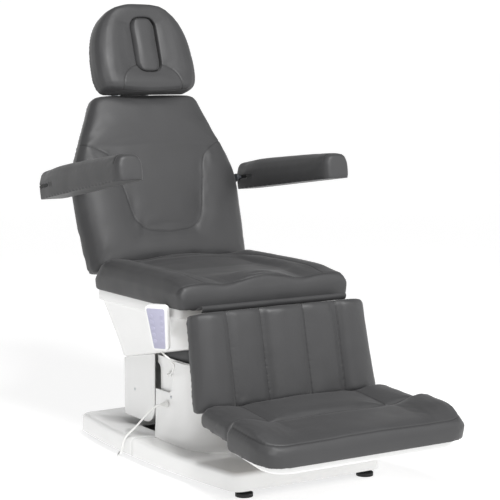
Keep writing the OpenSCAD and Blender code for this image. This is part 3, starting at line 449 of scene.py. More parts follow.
def cut_out(piece, cutters, round_by):
    """Cuts the shapes of some bmeshes out of a finished shell, then rounds and shades it again."""
    piece.modifiers.remove(piece.modifiers["shading"])
    for bm in cutters:
        bmesh.ops.recalc_face_normals(bm, faces=bm.faces)
        tool = placed("cutter", mesh_of("cutter", bm))
        saw = piece.modifiers.new("cut", "BOOLEAN")
        saw.object, saw.operation, saw.solver = tool, "DIFFERENCE", "MANIFOLD"
        settle(piece)
        bpy.data.objects.remove(tool)
    soften(piece, round_by)
    shade(piece)


print("helpers ready; walls are", WALL / MM, "mm")

# %% [markdown]
# ## The base cover
# The foot of the bed is a shallow white moulding with bowed sides and rounded corners, in two halves that
# meet across the bed. Its outline is a ring that is extruded from the opening under the column out to the
# crown, over it and down to the lip near the floor. A cutting plane then gives the two halves.

# %% Base cover
BASE_FRONT, BASE_REAR, BASE_R, BASE_TOP, BASE_LOW, CROWN = -407, 565, 40, 75, 19, 14
BASE_HALF, BOW, BOW_Y = 302, 1.62e-4, 90
WELL_Y, WELL_HALF_X, WELL_HALF_Y = 115, 190, 172


def base_half(y):
    """Half the width of the base, whose sides bow out."""
    return BASE_HALF - BOW * (y - BOW_Y) ** 2


def base_ring(inset, z):
    """The outline of the base, drawn in by an inset."""
    f, b, r = BASE_FRONT + BASE_R, BASE_REAR - BASE_R, BASE_R - inset
    ring = []
    for side, y, first in ((-1, b, 90), (-1, f, 180), (1, f, 270), (1, b, 0)):
        ring += [(*p, z) for p in arc(side * (base_half(y) - BASE_R), y, r, first, first + 90, 13)]
        if (side, y) in ((-1, b), (1, f)):
            ring += [(side * (base_half(w) - inset), w, z) for w in np.linspace(y, f + b - y, 25)[1:-1]]
    return ring


def base_cover(name, at, side):
    """One half of the cover, cut off at a place along the bed."""
    well = [(*onto_window(x, y, WELL_Y, WELL_HALF_X, WELL_HALF_Y), z)
            for x, y, z in base_ring(CROWN, BASE_TOP)]
    crown = [base_ring(CROWN * (1 - math.cos(a)), BASE_TOP - CROWN * (1 - math.sin(a)))
             for a in np.radians(np.linspace(90, 0, 8))]
    bm = loft([well] + crown + [base_ring(0, BASE_LOW + 3), base_ring(1.5, BASE_LOW)])
    bmesh.ops.bisect_plane(bm, geom=bm.verts[:] + bm.edges[:] + bm.faces[:], plane_co=(0, at * MM, 0),
                           plane_no=(0, side, 0), clear_outer=True)
    moulding(name, bm, "base", name.replace("moulding", "cover"), (0, at * MM, 0), 0.8 * MM)


base_cover("base_moulding_front", 139.7, 1)
base_cover("base_moulding_rear", 140.3, -1)
print("base cover halves")

# %% [markdown]
# ## The column's covers
# A white boot stands on the base and flares out at its foot. Inside it slides the sleeve that hangs under
# the tub, and a rounded cover closes the column at the rear. All three are open bands, so each is a row of
# points extruded level by level, then given its wall.


# %% Column boot
def front_path(w, front, edge, z, power):
    """A band round the front of the column: two straight sides and a squared-off half ellipse."""
    row = [(-w, edge * (1 - i / 5), z) for i in range(6)]
    for a in np.radians(np.linspace(184, 356, 44)):
        c, s = math.cos(a), math.sin(a)
        row.append((w * math.copysign(abs(c) ** (2 / power), c), front * abs(s) ** (2 / power), z))
    return row + [(w, edge * i / 5, z) for i in range(6)]


BOOT = np.array([(77, 234, -214, 112), (80, 229, -205, 118), (95, 220, -178, 132), (130, 211, -146, 144),
                 (190, 207, -118, 150), (325, 205, -100, 150)], float)
COLUMN = (0, 0.11, 0.3)
bm = loft([front_path(w, f, e, z, 2.6) for z, w, f, e in smooth_line(BOOT, 6, np.array)], closed=False)
boot = moulding("column_boot_moulding", bm, "base", "column_boot", COLUMN)
bm = bmesh.new()
box_mesh(bm, (-300, 48, 222), (300, 260, 390))
bevel_edges(bm, [e for e in bm.edges if abs(e.verts[0].co.x - e.verts[1].co.x) > 0.1], 24 * MM, 8)
gland_hole = Matrix.Translation((-0.22, 0.075, 0.186)) @ Matrix.Rotation(math.pi / 2, 4, "Y")
bmesh.ops.create_cone(bm, cap_ends=True, segments=32, radius1=8.2 * MM, radius2=8.2 * MM, depth=0.06,
                      matrix=gland_hole)
cut_out(boot, [bm], 1 * MM)
print("boot with its gland hole")

# %% Column sleeve and shade band
TUB_LOW, TUB_REAR, TUB_SLOPE = 284, 386, 0.206
quarter = np.radians(np.linspace(0, 90, 9))


def under_tub(y):
    """Height of the slanted underside of the tub."""
    return TUB_LOW - 1 + TUB_SLOPE * (TUB_REAR - y)


SLEEVE = [(172 + 44 * (1 - math.cos(a)), 92 + 44 * math.sin(a)) for a in quarter]
SLEEVE += [(250, 136), (284, 136), (291, 137.5), (297, 142), (301, 148), (303, 153), (315, 153), (327, 153)]
bm = loft([front_path(196, -62, edge, z, 4) for z, edge in SLEEVE], closed=False)
moulding("column_sleeve_moulding", bm, "carriage", "column_sleeve", COLUMN, 1 * MM)
# A black band under the tub, inside the sleeve, is painted shade: it darkens the gap between the tub and the
# boot.
shade_band = front_path(187, -53, 128, 318, 4)
bm = loft([shade_band, [(x, y, under_tub(y)) for x, y, z in shade_band]], closed=False)
finish_piece("column_shade_band", bm, black_abs, "carriage", WALL, 1 * MM, core=COLUMN)
print("sleeve and collar")

# %% Column rear cover
REAR_W, REAR_Y, REAR_R = 208, 392, 50


def rear_path(edge, z):
    """A band round the rear of the column, with two rounded corners."""
    side = [edge + (REAR_Y - REAR_R - edge) * i / 4 for i in range(4)]
    corners = (arc(REAR_W - REAR_R, REAR_Y - REAR_R, REAR_R, 0, 90, 12)
               + arc(REAR_R - REAR_W, REAR_Y - REAR_R, REAR_R, 90, 180, 12))
    return [(x, y, z) for x, y in [(REAR_W, y) for y in side] + corners + [(-REAR_W, y) for y in side[::-1]]]


rows = [rear_path(156 + 56 * (1 - math.sin(a)), 104 + 56 * (1 - math.cos(a))) for a in quarter]
rows += [[(x, y, z + (under_tub(y) - z) * u) for x, y, z in rows[-1]] for u in (0.33, 0.66, 1.0)]
moulding("column_rear_moulding", loft(rows, closed=False), "carriage", "column_rear_cover", COLUMN, 1 * MM)
print("rear cover")

# %% [markdown]
# ## The tub under the seat
# Under the seat hangs a deep white tub with a lip round its mouth. Its levels are rounded rectangles that
# shrink downwards and rise towards the front. Slots leave room for the hinge ears and the levers of the
# drives, which a cutter takes out once the wall is there.


# %% Seat tub
def tray_ring(z, slope, w, front, rear, r):
    """A rounded rectangle that rises towards the front."""
    ring = []
    for side, y, first in ((-1, rear - r, 90), (-1, front + r, 180), (1, front + r, 270), (1, rear - r, 0)):
        ring += arc(side * (w - r), y, r, first, first + 90, 13)
    return [(x, y, z + slope * (TUB_REAR - y)) for x, y in ring]


TUB_SIDE = np.array([(482, 0, 281, -121, 380, 30), (430, 0.03, 264, -84, 382, 45),
                     (345, 0.15, 235, -62, 386, 58), (293, TUB_SLOPE, 218, -52, 388, 60)])
levels = [(517.7, 0, 290, -130, 388, 25), (486, 0, 290, -130, 388, 25), (484.4, 0, 289, -129, 387.4, 25.6),
          (483, 0, 285.5, -125.5, 384, 28)] + smooth_line(TUB_SIDE, 6, np.array)
for a in np.radians(np.linspace(0, 90, 7))[1:]:
    drop, turn = 9 * math.sin(a), 14 * (1 - math.cos(a))
    levels.append((293 - drop, TUB_SLOPE, 218 - turn, -52 + turn * 0.86, 388 - turn, 60 - turn * 0.57))
rings = [tray_ring(*v) for v in levels]
mouth = [onto_window(x, y, 110, 89, 69) for x, y, _ in rings[-1]]
rings.append([(x, y, TUB_LOW + TUB_SLOPE * (TUB_REAR - y)) for x, y in mouth])
tub = moulding("seat_tub_moulding", loft(rings), "carriage", "seat_tub", (0, 0.11, 0.42))
ears, levers = bmesh.new(), bmesh.new()
for x in (-175, 175):
    for y0, y1 in ((330, 400), (-160, -90)):
        box_mesh(ears, (x - 8, y0, 478), (x + 8, y1, 520))
box_mesh(levers, (172, 330, 411), (208, 400, 520))
box_mesh(levers, (-208, -160, 414), (-172, -40, 446))
cut_out(tub, [ears, levers], 1 * MM)
print("tub of", len(rings), "levels")

# %% [markdown]
# ## The foot tray
# The front foot pad lies in a shallow white tray on two sliding bars. Its outline becomes a face, the face is
# extruded to the tray's height, the lower edge is rounded and the top is taken off.


# %% Local places of the bed's sections
def section(at, turn=0, axis="X"):
    """A section's place, turned about an axis by degrees."""
    return Matrix.Translation(at) @ Matrix.Rotation(math.radians(turn), 4, axis)


BACK = section((0, 0.380, 0.600), -18.3)
LEG = section((0, -0.181, 0.500), -12.5)
FOOT = LEG @ section((0, -0.056, -0.298), 18)
TRAY = FOOT @ section((0, -0.199, -0.043))
SEAT = section((0, -0.174, 0.518))
ARMS = {side: section((side * 0.376, 0.500, 0.844), tilt) for side, tilt in ((1, -7.4), (-1, -10))}
HANDSET = section((-0.321, -0.077, 0.458), -55, "Z") @ section((0, 0, 0), 14)
print("foot section at", [round(v, 3) for v in FOOT.translation])

# %% Foot tray
TRAY_HIGH = 24
outline = ([(-320, 0), (-328, -136)] + arc(-258, -136, 70, 180, 270, 13)[1:]
           + arc(258, -136, 70, 270, 360, 13) + [(320, 0)])
bm = bmesh.new()
face = bm.faces.new([bm.verts.new((x * MM, y * MM, 0)) for x, y in outline])
raise_face(bm, face, (0, 0, TRAY_HIGH * MM))
bevel_edges(bm, [e for e in bm.edges if all(v.co.z < 1e-6 for v in e.verts)], 7 * MM, 4)
top = [f for f in bm.faces if f.calc_center_median().z > (TRAY_HIGH - 0.1) * MM]
bmesh.ops.delete(bm, geom=top, context="FACES")
bm.transform(TRAY)
tray = moulding("foot_tray_moulding", bm, "foot_extension", "foot_tray", TRAY @ Vector((0, -0.1, 0.024)))
bm = bmesh.new()
for x in (-175, 175):
    box_mesh(bm, (x - 14, -20, 4), (x + 14, 10, 40))
bm.transform(TRAY)
cut_out(tray, [bm], 0.8 * MM)
print("foot tray")

# %% [markdown]
# ## The handset
# A flat white case, wider at the top, with a lavender key mat let into its face. The outline is a hull of four
# round corners: four arcs joined to a face, extruded to the thickness and rounded along its rims. Each key
# is a short tapered disc on the mat.

# %% Handset
HANDSET_CORNERS = ((23.5, 58.5, 14, 0), (-23.5, 58.5, 14, 90), (-15, -60.5, 12, 180), (15, -60.5, 12, 270))


def plate(bm, grow, y0, y1, rounding, segments):
    """A plate of the handset's outline, grown by a margin, with rounded rims."""
    ring = []
    for x, z, r, first in HANDSET_CORNERS:
        ring += arc(x, z, r + grow, first, first + 90, 9)
    face = bm.faces.new([bm.verts.new(Vector((x, y0, z)) * MM) for x, z in ring])
    raise_face(bm, face, (0, (y1 - y0) * MM, 0))
    rims = [e for e in bm.edges if abs(e.verts[0].co.y - e.verts[1].co.y) < 1e-7 and len(e.link_faces) == 2
            and e.calc_face_angle(0) > 1]
    bevel_edges(bm, rims, rounding * MM, segments)


bm = bmesh.new()
plate(bm, 0, -11, 11, 5, 5)
bm.transform(HANDSET)
finish_piece("handset_shell", bm, white_abs, "carriage", replaces=["handset_case"])
bm = bmesh.new()
plate(bm, -8.3, -11.6, -10, 0.4, 2)
for row in range(5):
    for side in (-1, 1):
        key_at = Matrix.Translation(Vector((side * (12.5 + 1.2 * row), -11.4, -40 + 20 * row)) * MM)
        bmesh.ops.create_cone(bm, cap_ends=True, segments=32, radius1=6.5 * MM, radius2=5.6 * MM,
                              depth=2.0 * MM, matrix=key_at @ Matrix.Rotation(math.pi / 2, 4, "X"))
bm.transform(HANDSET)
finish_piece("handset_key_mat", bm, key_mat, "carriage", replaces=["handset_keypad"])
print("handset")

# %% [markdown]
# ## Turned fittings
# The strain relief of the mains lead, the grommet of the handset cord, the screws of the covers and the plug
# are turned shapes: half a profile is drawn along X and spun round its line, which is quicker than a loft.


# %% Turned fittings
def turned(name, profile, at, finish, body, replaces=()):
    """Spins a profile of places along X and radii, in millimetres, and sets it in its place."""
    bm = bmesh.new()
    spin_round(bm, [Vector((x, 0, max(r, 0.02))) * MM for x, r in profile], (1, 0, 0), 40)
    bmesh.ops.remove_doubles(bm, verts=bm.verts, dist=0.03 * MM)
    bmesh.ops.translate(bm, vec=Vector(at) * MM, verts=bm.verts)
    return finish_piece(name, bm, finish, body, replaces=replaces)


ribs = [(-201, 3.3), (-201, 8), (-209.5, 8), (-209.6, 10.4), (-210.2, 11), (-213.3, 11), (-214, 10.2),
        (-214.2, 7.6)]
for k in range(6):
    x, r = -215.5 - 3.4 * k, 7.4 - 0.55 * k
    ribs += [(x, r), (x - 1.6, r - 0.15), (x - 1.9, r - 1.1), (x - 3.1, r - 1.2)]
ribs += [(-236, 4.0), (-236.4, 3.3)]
turned("mains_strain_relief", ribs, (0, 75, 186), cord_pvc, "base", ["mains_gland"])
lip = [(-190, 2.7), (-190, 5.9), (-196, 5.9), (-196.1, 9.2), (-197, 9.5), (-199, 9.3), (-199.9, 8.2),
       (-200.1, 6), (-199.6, 2.7)]
turned("cord_grommet_ring", lip, (0, 71, 280), cord_pvc, "carriage", ["cord_grommet"])
head = [(-1, 4.6), (0.7, 4.6), (1.5, 4), (1.9, 2.4), (1.9, 1.5), (0.8, 1.1), (0.8, 0)]
for name, body, x, y, z in (("boot_screw", "base", 206.6, 53, 211),
                            ("rear_cover_screw", "carriage", 208, 284, 196)):
    for word, side in (("right", -1), ("left", 1)):
        turned(f"{name}_{word}", [(side * a, r) for a, r in head], (side * x, y, z), zinc_steel, body)
print("strain relief, grommet and screws")

# %% Plug
plug_end = lead_line[-1] / MM - Vector((0.3, 0, 0))
shell = [(0, 3.4), (0, 4.6), (-3, 5), (-3.4, 4.2), (-6, 4.3), (-6.4, 5.6), (-9.4, 5.8), (-9.8, 4.9), (-12, 5),
         (-14, 8), (-18, 13.5), (-24, 17), (-32, 18.6), (-47, 18.8), (-49.4, 18), (-50, 16.6), (-50, 0)]
plug = turned("mains_plug_body", shell, plug_end, cord_pvc, "base", ["mains_plug"])
prong = [(-49, 0), (-49, 2.4), (-66, 2.4), (-68.4, 1.8), (-69, 0.8), (-69, 0)]
prongs = [turned(f"mains_plug_pin_{n}", prong, plug_end + Vector((0, y, 0)), zinc_steel, "base")
          for n, y in (("a", -9.5), ("b", 9.5))]
print("plug and its pins")

# %% [markdown]
# ## The pads
# Every pad is foam under sewn leatherette. It could be sculpted, but a cover that is blown up from inside
# finds its curves by itself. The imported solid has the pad's outline and main form, so a copy of it is
# remeshed to an even grid, drawn in a little and blown up by a cloth simulation whose seams and underside
# are held. How far a point may move is capped and shared with its neighbours, so that the pad keeps its
# place and doesn't crumple. At the end the seams are pressed in, with small puckers from the thread.


# %% Measuring on a pad
def ramp(v):
    """A value kept between 0 and 1."""
    return np.clip(v, 0, 1)


def rows_of(items, field):
    """Three numbers for each item of a mesh, as rows."""
    out = np.empty(len(items) * 3)
    items.foreach_get(field, out)
    return out.reshape(-1, 3)


def set_points(mesh, points):
    mesh.vertices.foreach_set("co", points.ravel())
    mesh.update()


def face_measure(at, out, along):
    """Gives a function that measures points across, along and out of a pad's face, in millimetres."""
    back = np.array(at.inverted())

    def measure(points):
        local = points @ back[:3, :3].T + back[:3, 3]
        return local[:, 0] / MM, local @ np.array(along, float) / MM, local @ np.array(out, float) / MM
    return measure


# %% Seam helpers
FAR = 1e9


def rounded_line(points):
    return [tuple(p)[:2] for p in smooth_line([(*p, 0) for p in points], 8)]


def mirrored(line):
    return [(-x, y) for x, y in line]


def seam_distance(flat, line):
    """Distance of points to a line of points on the pad's face, and how far along the line they are."""
    line = np.array(line, float)
    best = np.full(len(flat), FAR)
    along = np.zeros(len(flat))
    run = 0.0
    for a, b in zip(line, line[1:]):
        step = b - a
        size = math.hypot(*step)
        t = ramp((flat - a) @ step / size ** 2)
        d = np.hypot(*(flat - a - t[:, None] * step).T)
        nearer = d < best
        best = np.where(nearer, d, best)
        along = np.where(nearer, run + t * size, along)
        run += size
    return best, along


def nearest_seam(x, l, facing, seams):
    """Distance to the nearest seam, for points on the side that faces out, and the place along that seam."""
    near, run = np.full(len(x), FAR), np.zeros(len(x))
    for line in seams:
        d, s = seam_distance(np.stack([x, l], 1), line)
        d = np.where(facing > 0.15, d, FAR)
        run = np.where(d < near, s, run)
        near = np.minimum(near, d)
    return near, run


# %% An even and smooth grid
UNDERSIDE = 4
SMOOTH_IN, SMOOTH_OUT = 0.5, -0.52


def remeshed(node, size):
    """A copy of a packed pad on an even grid of squares."""
    bm = bmesh.new()
    bm.from_mesh(nodes[node].data)
    bmesh.ops.remove_doubles(bm, verts=bm.verts, dist=0.01 * MM)
    piece = placed(node + "_work", mesh_of(node + "_work", bm))
    grid = piece.modifiers.new("grid", "REMESH")
    grid.mode, grid.voxel_size = "VOXEL", size
    settle(piece)
    return piece


def smoothed(mesh, at, out, rounds):
    """Takes the steps of the grid off a pad without shrinking it, and lays its underside flat again."""
    bm = bmesh.new()
    bm.from_mesh(mesh)
    bm.normal_update()
    inward, outward = at.inverted(), at.to_3x3() @ out
    height = [(inward @ v.co).dot(out) for v in bm.verts]
    lowest = min(height)
    below = [v for v, h in zip(bm.verts, height) if h < lowest + UNDERSIDE * MM]
    for factor in (SMOOTH_IN, SMOOTH_OUT) * rounds:
        bmesh.ops.smooth_vert(bm, verts=bm.verts, factor=factor, use_axis_x=True, use_axis_y=True,
                              use_axis_z=True)
    for v in below:
        v.co += outward * (lowest - (inward @ v.co).dot(out))
    bm.to_mesh(mesh)
    bm.free()


# %% Cloth under pressure
PRESSURE, LAST_FRAME = 3.5, 10


def blow_up(piece, held):
    """Cloth under pressure from inside, with some points held."""
    group = piece.vertex_groups.new(name="held")
    group.add([int(i) for i in np.flatnonzero(held)], 1.0, "REPLACE")
    cloth = piece.modifiers.new("cloth", "CLOTH")
    made = cloth.settings
    made.quality, made.mass = 3, 0.3
    made.tension_stiffness = made.compression_stiffness = 15
    made.shear_stiffness, made.bending_stiffness = 5, 0.5
    made.use_pressure, made.uniform_pressure_force = True, PRESSURE
    made.vertex_group_mass = "held"
    made.effector_weights.gravity = 0
    cloth.point_cache.frame_start, cloth.point_cache.frame_end = 1, LAST_FRAME
    for n in range(1, LAST_FRAME + 1):
        scene.frame_set(n)
    graph = bpy.context.evaluated_depsgraph_get()
    moved = rows_of(piece.evaluated_get(graph).to_mesh().vertices, "co")
    piece.evaluated_get(graph).to_mesh_clear()
    piece.modifiers.clear()
    scene.frame_set(1)
    return moved


def evened(mesh, step, rounds=6):
    """Shares out how far each point moves with its neighbours, so that panels swell without crumpling."""
    pairs = np.empty(len(mesh.edges) * 2, np.int32)
    mesh.edges.foreach_get("vertices", pairs)
    a, b = np.concatenate([pairs.reshape(-1, 2), pairs.reshape(-1, 2)[:, ::-1]]).T
    count = np.bincount(a, minlength=len(step))
    for _ in range(rounds):
        shared = np.stack([np.bincount(a, step[b, k], len(step)) for k in range(3)], 1) / count[:, None]
        step = (step + shared) / 2
    return step


# %% Pressing the seams in
COVER, GROOVE, GROOVE_W, SEAM_SHADE_W, DRIFT = 1.8, 1.7, 2.4, 1.6, 0.7
PUCKERS = ((0.45, 11, 0.0), (0.3, 17, 1.3))


def press_seams(mesh, measure, outward, seams, dark, proud):
    """Presses the seams in, adds the cover's thickness, and paints shade along the seams, inside slits and on
    the underside.
    """
    points, normals = rows_of(mesh.vertices, "co"), rows_of(mesh.vertex_normals, "vector")
    x, l, h = measure(points)
    facing = normals @ outward
    near, run = nearest_seam(x, l, facing, seams)
    # The slit's painted shade; points that get it get no cover thickness.
    slit_shade = dark(x, l, h) if dark else np.zeros(len(points))
    groove = np.exp(-(near / GROOVE_W) ** 2)
    waves = sum(high * np.sin(run * 2 * math.pi / wide + shift) for high, wide, shift in PUCKERS)
    pucker = np.exp(-near / 7) * waves
    drift = np.array([noise.noise(Vector(p) / (55 * MM)) for p in points])
    cover = np.where(slit_shade > 0, 0, ramp((h - h.min() - 2) / 6))
    depth = (-GROOVE * groove + 0.3 * pucker + (DRIFT * drift + proud) * cover) * MM
    set_points(mesh, points + normals * depth[:, None])
    # Painted shade: faces that turn away from the pad's face, its underside, are darkened.
    underside_shade = 0.85 * ramp((-facing - 0.3) / 0.4)
    # Painted shade: a dark line along each seam's groove, joined with the underside's painted shade.
    shadow = np.maximum(0.7 * np.exp(-(near / SEAM_SHADE_W) ** 2), underside_shade)
    # The "seam" attribute carries all the pad's painted shade: seam grooves, underside and slit.
    mark = mesh.attributes.new("seam", "FLOAT", "POINT")
    mark.data.foreach_set("value", np.maximum(shadow, slit_shade).astype(np.float32))


# %% The pad maker
def pad(name, node, body, at, out, along, seams, grid=5.0, draw_in=3.0, swell=7.0, smooth=12, form=None,
        dark=None, proud=COVER):
    """A sewn pad: at is its section's place, out and along are its face and length directions there. The form
    moves points first, in millimetres across, along and out; dark gives the painted shade inside a slit, whose
    points are also held; proud is the cover's thickness."""
    piece = remeshed(node, grid * MM)
    mesh = piece.data
    smoothed(mesh, at, Vector(out), smooth)
    measure = face_measure(at, out, along)
    ways = [np.array(at.to_3x3()) @ np.array(way, float) for way in ((1, 0, 0), along, out)]
    start, normals = rows_of(mesh.vertices, "co"), rows_of(mesh.vertex_normals, "vector")
    for move, way in zip(form(*measure(start)) if form else (), ways):
        start += np.outer(move, way) * MM
    x, l, h = measure(start)
    facing = normals @ ways[2]
    near, _ = nearest_seam(x, l, facing, seams)
    still = h < h.min() + UNDERSIDE
    if dark:
        still |= dark(x, l, h) > 0
    held = still | (near < grid * 0.75)
    drawn = start - normals * (draw_in * MM * (~still))[:, None]
    set_points(mesh, drawn)
    upward = ramp(facing)
    moved = blow_up(piece, held)
    step = moved - drawn
    cap = (draw_in + 0.8 + swell * upward ** 2) * MM
    size = np.linalg.norm(step, axis=1) + 1e-12
    set_points(mesh, drawn + evened(mesh, step * (cap * np.tanh(size / cap) / size)[:, None]))
    finer = piece.modifiers.new("finer", "SUBSURF")
    finer.levels = finer.render_levels = 1
    settle(piece)
    press_seams(piece.data, measure, ways[2], seams, dark, proud)
    piece.data.materials.clear()
    piece.data.materials.append(leatherette)
    for face in piece.data.polygons:
        face.use_smooth = True
    piece.data.update()
    piece.name = name
    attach(piece, body)
    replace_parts(piece, node)
    print(name, len(piece.data.polygons), "faces")


# %% [markdown]
# ### Seat and back
# The seat has a seam along its front roll and a U-shaped one round its hollow; the back has two seams that
# meet in a tongue. Seam lines are given on each pad's face in millimetres: across it, and along it from its
# section's origin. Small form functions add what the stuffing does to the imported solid.

# %% Seat and back
UP, FRONT = (0, 0, 1), (0, -1, 0)
LONG, TALL = (0, 1, 0), (0, 0, 1)
front_seam = rounded_line([(-296, 20), (-270, 15), (-200, 14), (-140, 17), (-90, 15), (-30, 13), (30, 13),
                           (90, 15), (140, 17), (200, 14), (270, 15), (296, 20)])
u_right = rounded_line([(214, 20), (222, 110), (222, 300), (214, 410), (180, 480), (90, 494), (0, 496)])
tongue = rounded_line([(272, 402), (228, 384), (186, 355), (166, 318), (157, 270), (145, 215), (135, 165),
                       (118, 125), (80, 98), (0, 88)])


def filled(x, l, h):
    """Behind its hollow the seat rises again."""
    behind = ramp((l - 320) / 130) * ramp((h - 30) / 30)
    return 0 * x, 0 * x, 20 * np.exp(-(x / 150) ** 2) * behind


def rolled(x, l, h):
    """The long edges of the back stand out a little and roll away from its face."""
    row = np.round((l - l.min()) / 8).astype(int)
    half = np.zeros(row.max() + 1)
    np.maximum.at(half, row, np.abs(x))
    half = np.convolve(np.pad(half, 3, "edge"), np.full(7, 1 / 7), "valid")
    near = ramp(1 - (half[row] - np.abs(x)) / 75)
    return 4 * np.sign(x) * near, 0 * x, -5 * near ** 2 * ramp((h + 60) / 50)


pad("seat_pad", "seat_cushion", "carriage", SEAT, UP, LONG, [front_seam, u_right, mirrored(u_right)],
    grid=6, swell=5, smooth=16, form=filled)
pad("back_pad", "back_cushion", "back", BACK, FRONT, TALL, [tongue, mirrored(tongue)],
    grid=6, swell=6, smooth=20, form=rolled)

# %% [markdown]
# ### Headrest and face plug
# The headrest is a round cushion with a hole for the face, and a small round plug fills the hole. Both keep
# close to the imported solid, because the plug has to slide in the hole.

# %% Headrest and face plug
cheek = rounded_line([(46, 652), (66, 645), (90, 628), (106, 600), (112, 566)])


def chin(x, l, h):
    """The lower front edge of the headrest hangs down in its middle; its outline is 2 mm of cover wider."""
    lip = -12 * np.exp(-(x / 120) ** 2) * ramp((625 - l) / 50) * ramp((h - 14) / 22)
    return 2 * np.sign(x) * ramp((np.abs(x) - 60) / 60), lip + 2 * ramp((l - 820) / 60), 0 * x


pad("head_pad", "head_cushion", "headrest", BACK, FRONT, TALL, [cheek, mirrored(cheek)],
    grid=3.6, draw_in=0.4, swell=4, form=chin, proud=0)
pad("face_hole_plug", "face_plug", "plug", BACK, FRONT, TALL, [],
    grid=3, draw_in=0.2, swell=3, smooth=6, proud=0)

# %% [markdown]
# ### Calf and foot pads
# Four upright seams divide the calf pad into five panels. The rear foot pad has two straight seams, and the
# front one a seam that follows its rounded end.


# %% Calf and foot pads
def quilted(x, l, h):
    """Full panels in the middle and at the sides, flatter ones between them, and a raised top edge."""
    front = ramp((h - 50) / 20)
    full = 8 * np.exp(-(x / 48) ** 2) + 8 * np.exp(-((np.abs(x) - 250) / 38) ** 2)
    sewn = sum(4 * np.exp(-((np.abs(x) - at) / 13) ** 2) for at in (77, 196))
    wide = 3 * np.sign(x) * ramp((np.abs(x) - 230) / 60)
    return wide, 4 * ramp((l + 25) / 25) * front, (full - sewn) * front


def full_ends(x, l, h):
    """The ends of the front foot pad stand out a little."""
    return 5 * np.sign(x) * ramp((np.abs(x) - 270) / 60), 0 * x, 0 * x


calf_seams = [[(x, -300), (x, 20)] for x in (-196, -77, 77, 196)]
foot_seams = [[(x, -210), (x, -20)] for x in (-206, 206)]
toe = rounded_line([(0, -402), (240, -401), (300, -394), (334, -370), (346, -330), (347, -270), (346, -205)])
pad("calf_pad", "leg_cushion", "calf", LEG, FRONT, TALL, calf_seams, swell=6, form=quilted)
pad("foot_rear_pad", "foot_rear_cushion", "foot", FOOT, UP, LONG, foot_seams,
    draw_in=2, swell=5, smooth=14)
pad("foot_front_pad", "foot_front_cushion", "foot_extension", FOOT, UP, LONG, [toe, mirrored(toe)],
    draw_in=2, swell=5, smooth=14, form=full_ends)

# %% [markdown]
# ### Arm pads
# Each arm pad swings on a bracket whose tongue sits in a slit at its rear. The imported pad has a wide wedge
# there for the motion; the cover closes it to a narrow slit. The slit's shade is painted: its inside is
# darkened and a thin black block fills it. A cap seam crosses the front end.


# %% Arm pads
def slit(x, l, h):
    """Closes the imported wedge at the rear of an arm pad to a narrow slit, and fills its top and end."""
    wide = np.interp(l, [-86, -44, -14, 33], [2.8, 2.8, 12, 13])
    close = np.maximum(wide - np.interp(l, [-70, 33], [2.8, 4.6]), 0) * (l > -70)
    fade = ramp((np.where(h > 0, 46, 40) - np.abs(h)) / np.where(h > 0, 33, 27))
    crown = 3 * ramp(h / 20) * ramp((-l - 20) / 60)
    return 0 * x, 8 * ramp(l / 28), crown - np.sign(h) * close * fade


# Painted shade: points deep in the slit are darkened to 0.95, and they are held.
def painted_slit_shade(x, l, h):
    return 0.95 * (l > -74) * ramp((6 - np.abs(h)) / 1.5)


cap_seam = [(-60, -498), (60, -498)]
for side, word in ((1, "left"), (-1, "right")):
    pad(f"arm_pad_{word}_soft", f"arm_pad_{word}", f"arm_{word}", ARMS[side], UP, LONG, [cap_seam],
        grid=3.8, draw_in=2, swell=4, smooth=10, form=slit, dark=painted_slit_shade)
    # A thin black block inside the slit stands in for the slit's shade.
    bm = bmesh.new()
    box_mesh(bm, (-44, -72, -4.4), (44, 26, 4.4))
    bm.transform(ARMS[side])
    finish_piece(f"arm_slit_shade_block_{word}", bm, black_rubber, f"arm_{word}", round_by=1 * MM)

# %% [markdown]
# ### The gap flap
# A strip of the same leatherette hides the hinge between the seat and the calf pad. It starts under the seat
# and lies over the top of the calf pad.

# %% Gap flap
FLAP_W, FLAP_STEPS = 0.516, 24
fold = [(-152, 514.7), (-166, 515), (-176, 516.2), (-188, 520), (-200, 526.5), (-210, 531.2), (-217, 532.6),
        (-221.8, 530.4), (-223, 526), (-221, 520), (-217, 514.6)]
bm = bmesh.new()
_, edges = chain(bm, [(-FLAP_W / 2, y * MM, z * MM) for y, z in fold])
for _ in range(FLAP_STEPS):
    made = bmesh.ops.extrude_edge_only(bm, edges=edges)["geom"]
    bmesh.ops.translate(bm, vec=(FLAP_W / FLAP_STEPS, 0, 0), verts=only(bmesh.types.BMVert, made))
    edges = only(bmesh.types.BMEdge, made)
bmesh.ops.recalc_face_normals(bm, faces=bm.faces)
flap = placed("gap_flap_sheet", mesh_of("gap_flap_sheet", bm))
flap.data.materials.append(leatherette)
thick = flap.modifiers.new("thick", "SOLIDIFY")
thick.thickness, thick.offset = 2.4 * MM, 0
settle(flap)
shade(flap)
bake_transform(flap)
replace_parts(flap, "gap_flap")
print("gap flap")

# %% [markdown]
# ## The rest of the model
# Frames, pins, drives and boards stay as packed. Each gets its finish, and a live weld and bevel take the
# hard edges off, as a press brake or a saw leaves them.

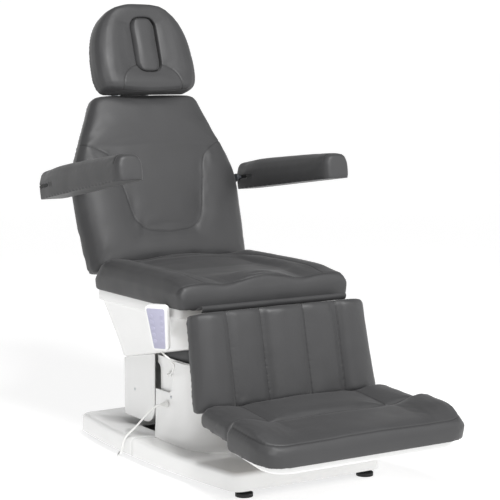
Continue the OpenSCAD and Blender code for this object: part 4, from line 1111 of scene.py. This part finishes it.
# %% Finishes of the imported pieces
FINISHES = ((zinc_steel, ("foot_studs", "hinge_pins", "foot_pins", "back_rod", "leg_rod", "foot_slide_rods",
                          "head_yoke", "head_pin", "column_inner")),
            (plywood, ("seat_board", "back_board", "leg_board", "foot_rear_board")),
            (black_abs, ("lift_motor", "control_box", "back_actuator", "leg_actuator", "head_board",
                         "arm_core_left", "arm_core_right")),
            (black_rubber, ("foot_pads",)), (white_abs, ("handset_hook",)))
finish_of = {name: finish for finish, names in FINISHES for name in names}
stood_for = {n for o in bpy.data.objects for n in o.get("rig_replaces", [])}
for name, piece in nodes.items():
    if name in stood_for:
        continue
    piece.data.materials.clear()
    piece.data.materials.append(finish_of.get(name, coated_steel))
    weld = piece.modifiers.new("weld", "WELD")
    weld.merge_threshold = 0.01 * MM
    flat = piece.modifiers.new("flat", "DECIMATE")
    flat.decimate_type, flat.angle_limit = "DISSOLVE", math.radians(0.5)
    soften(piece, 0.6 * MM)
    shade(piece)
print("packed pieces kept:", len(nodes) - len(stood_for))

# %% [markdown]
# ## Floor and light
# The bed stands in a wide white bowl: a flat floor whose rim curves up into a low wall, made by spinning half
# its profile. So no horizon line shows from any side. A large soft lamp from the front gives the pads their
# shape, a weak one on the other side and an even surround fill the shadows.

# %% Stage
FLOOR_R, BOWL_R, WALL_TOP = 9.5, 3.5, 4.3
profile = ([(0, 0), (4, 0), (FLOOR_R, 0)] + arc(FLOOR_R, BOWL_R, BOWL_R, -84, 0, 15)
           + [(FLOOR_R + BOWL_R, WALL_TOP)])
bm = bmesh.new()
spin_round(bm, [(r, 0, z) for r, z in profile], (0, 0, 1), 64)
bmesh.ops.remove_doubles(bm, verts=bm.verts, dist=1e-5)
bmesh.ops.recalc_face_normals(bm, faces=bm.faces)
paper, tree, shader, place = new_finish("white_paper", Roughness=0.9, Emission_Strength=0.75)
shader.inputs["Base Color"].default_value = colour("#b0b0b0")
shader.inputs["Emission Color"].default_value = (1, 1, 1, 1)
floor = placed("studio_floor", mesh_of("studio_floor", bm))
floor.data.materials.append(paper)
shade(floor)
print("floor to", FLOOR_R, "m")


# %% Light
def lamp(name, at, aim, size, power):
    """A round area lamp at a place, turned towards another."""
    data = bpy.data.lights.new(name, "AREA")
    data.shape, data.size, data.energy = "DISK", size, power
    made = placed(name, data)
    made.location = at
    made.rotation_euler = (Vector(aim) - Vector(at)).to_track_quat("-Z", "Y").to_euler()


world = bpy.data.worlds.new("studio")
scene.world = world
world.use_nodes = True
surround = world.node_tree.nodes["Background"].inputs
surround["Color"].default_value = (1, 1, 1, 1)
surround["Strength"].default_value = 0.28
SEAT_MIDDLE = (0, 0, 0.6)
lamp("key_lamp", (-0.7, -3.2, 4.2), SEAT_MIDDLE, 1.5, 280)
lamp("fill_lamp", (2.6, -2.6, 2.2), SEAT_MIDDLE, 1.6, 20)
scene.view_settings.view_transform = "Standard"
print("lamps:", len(bpy.data.lights))
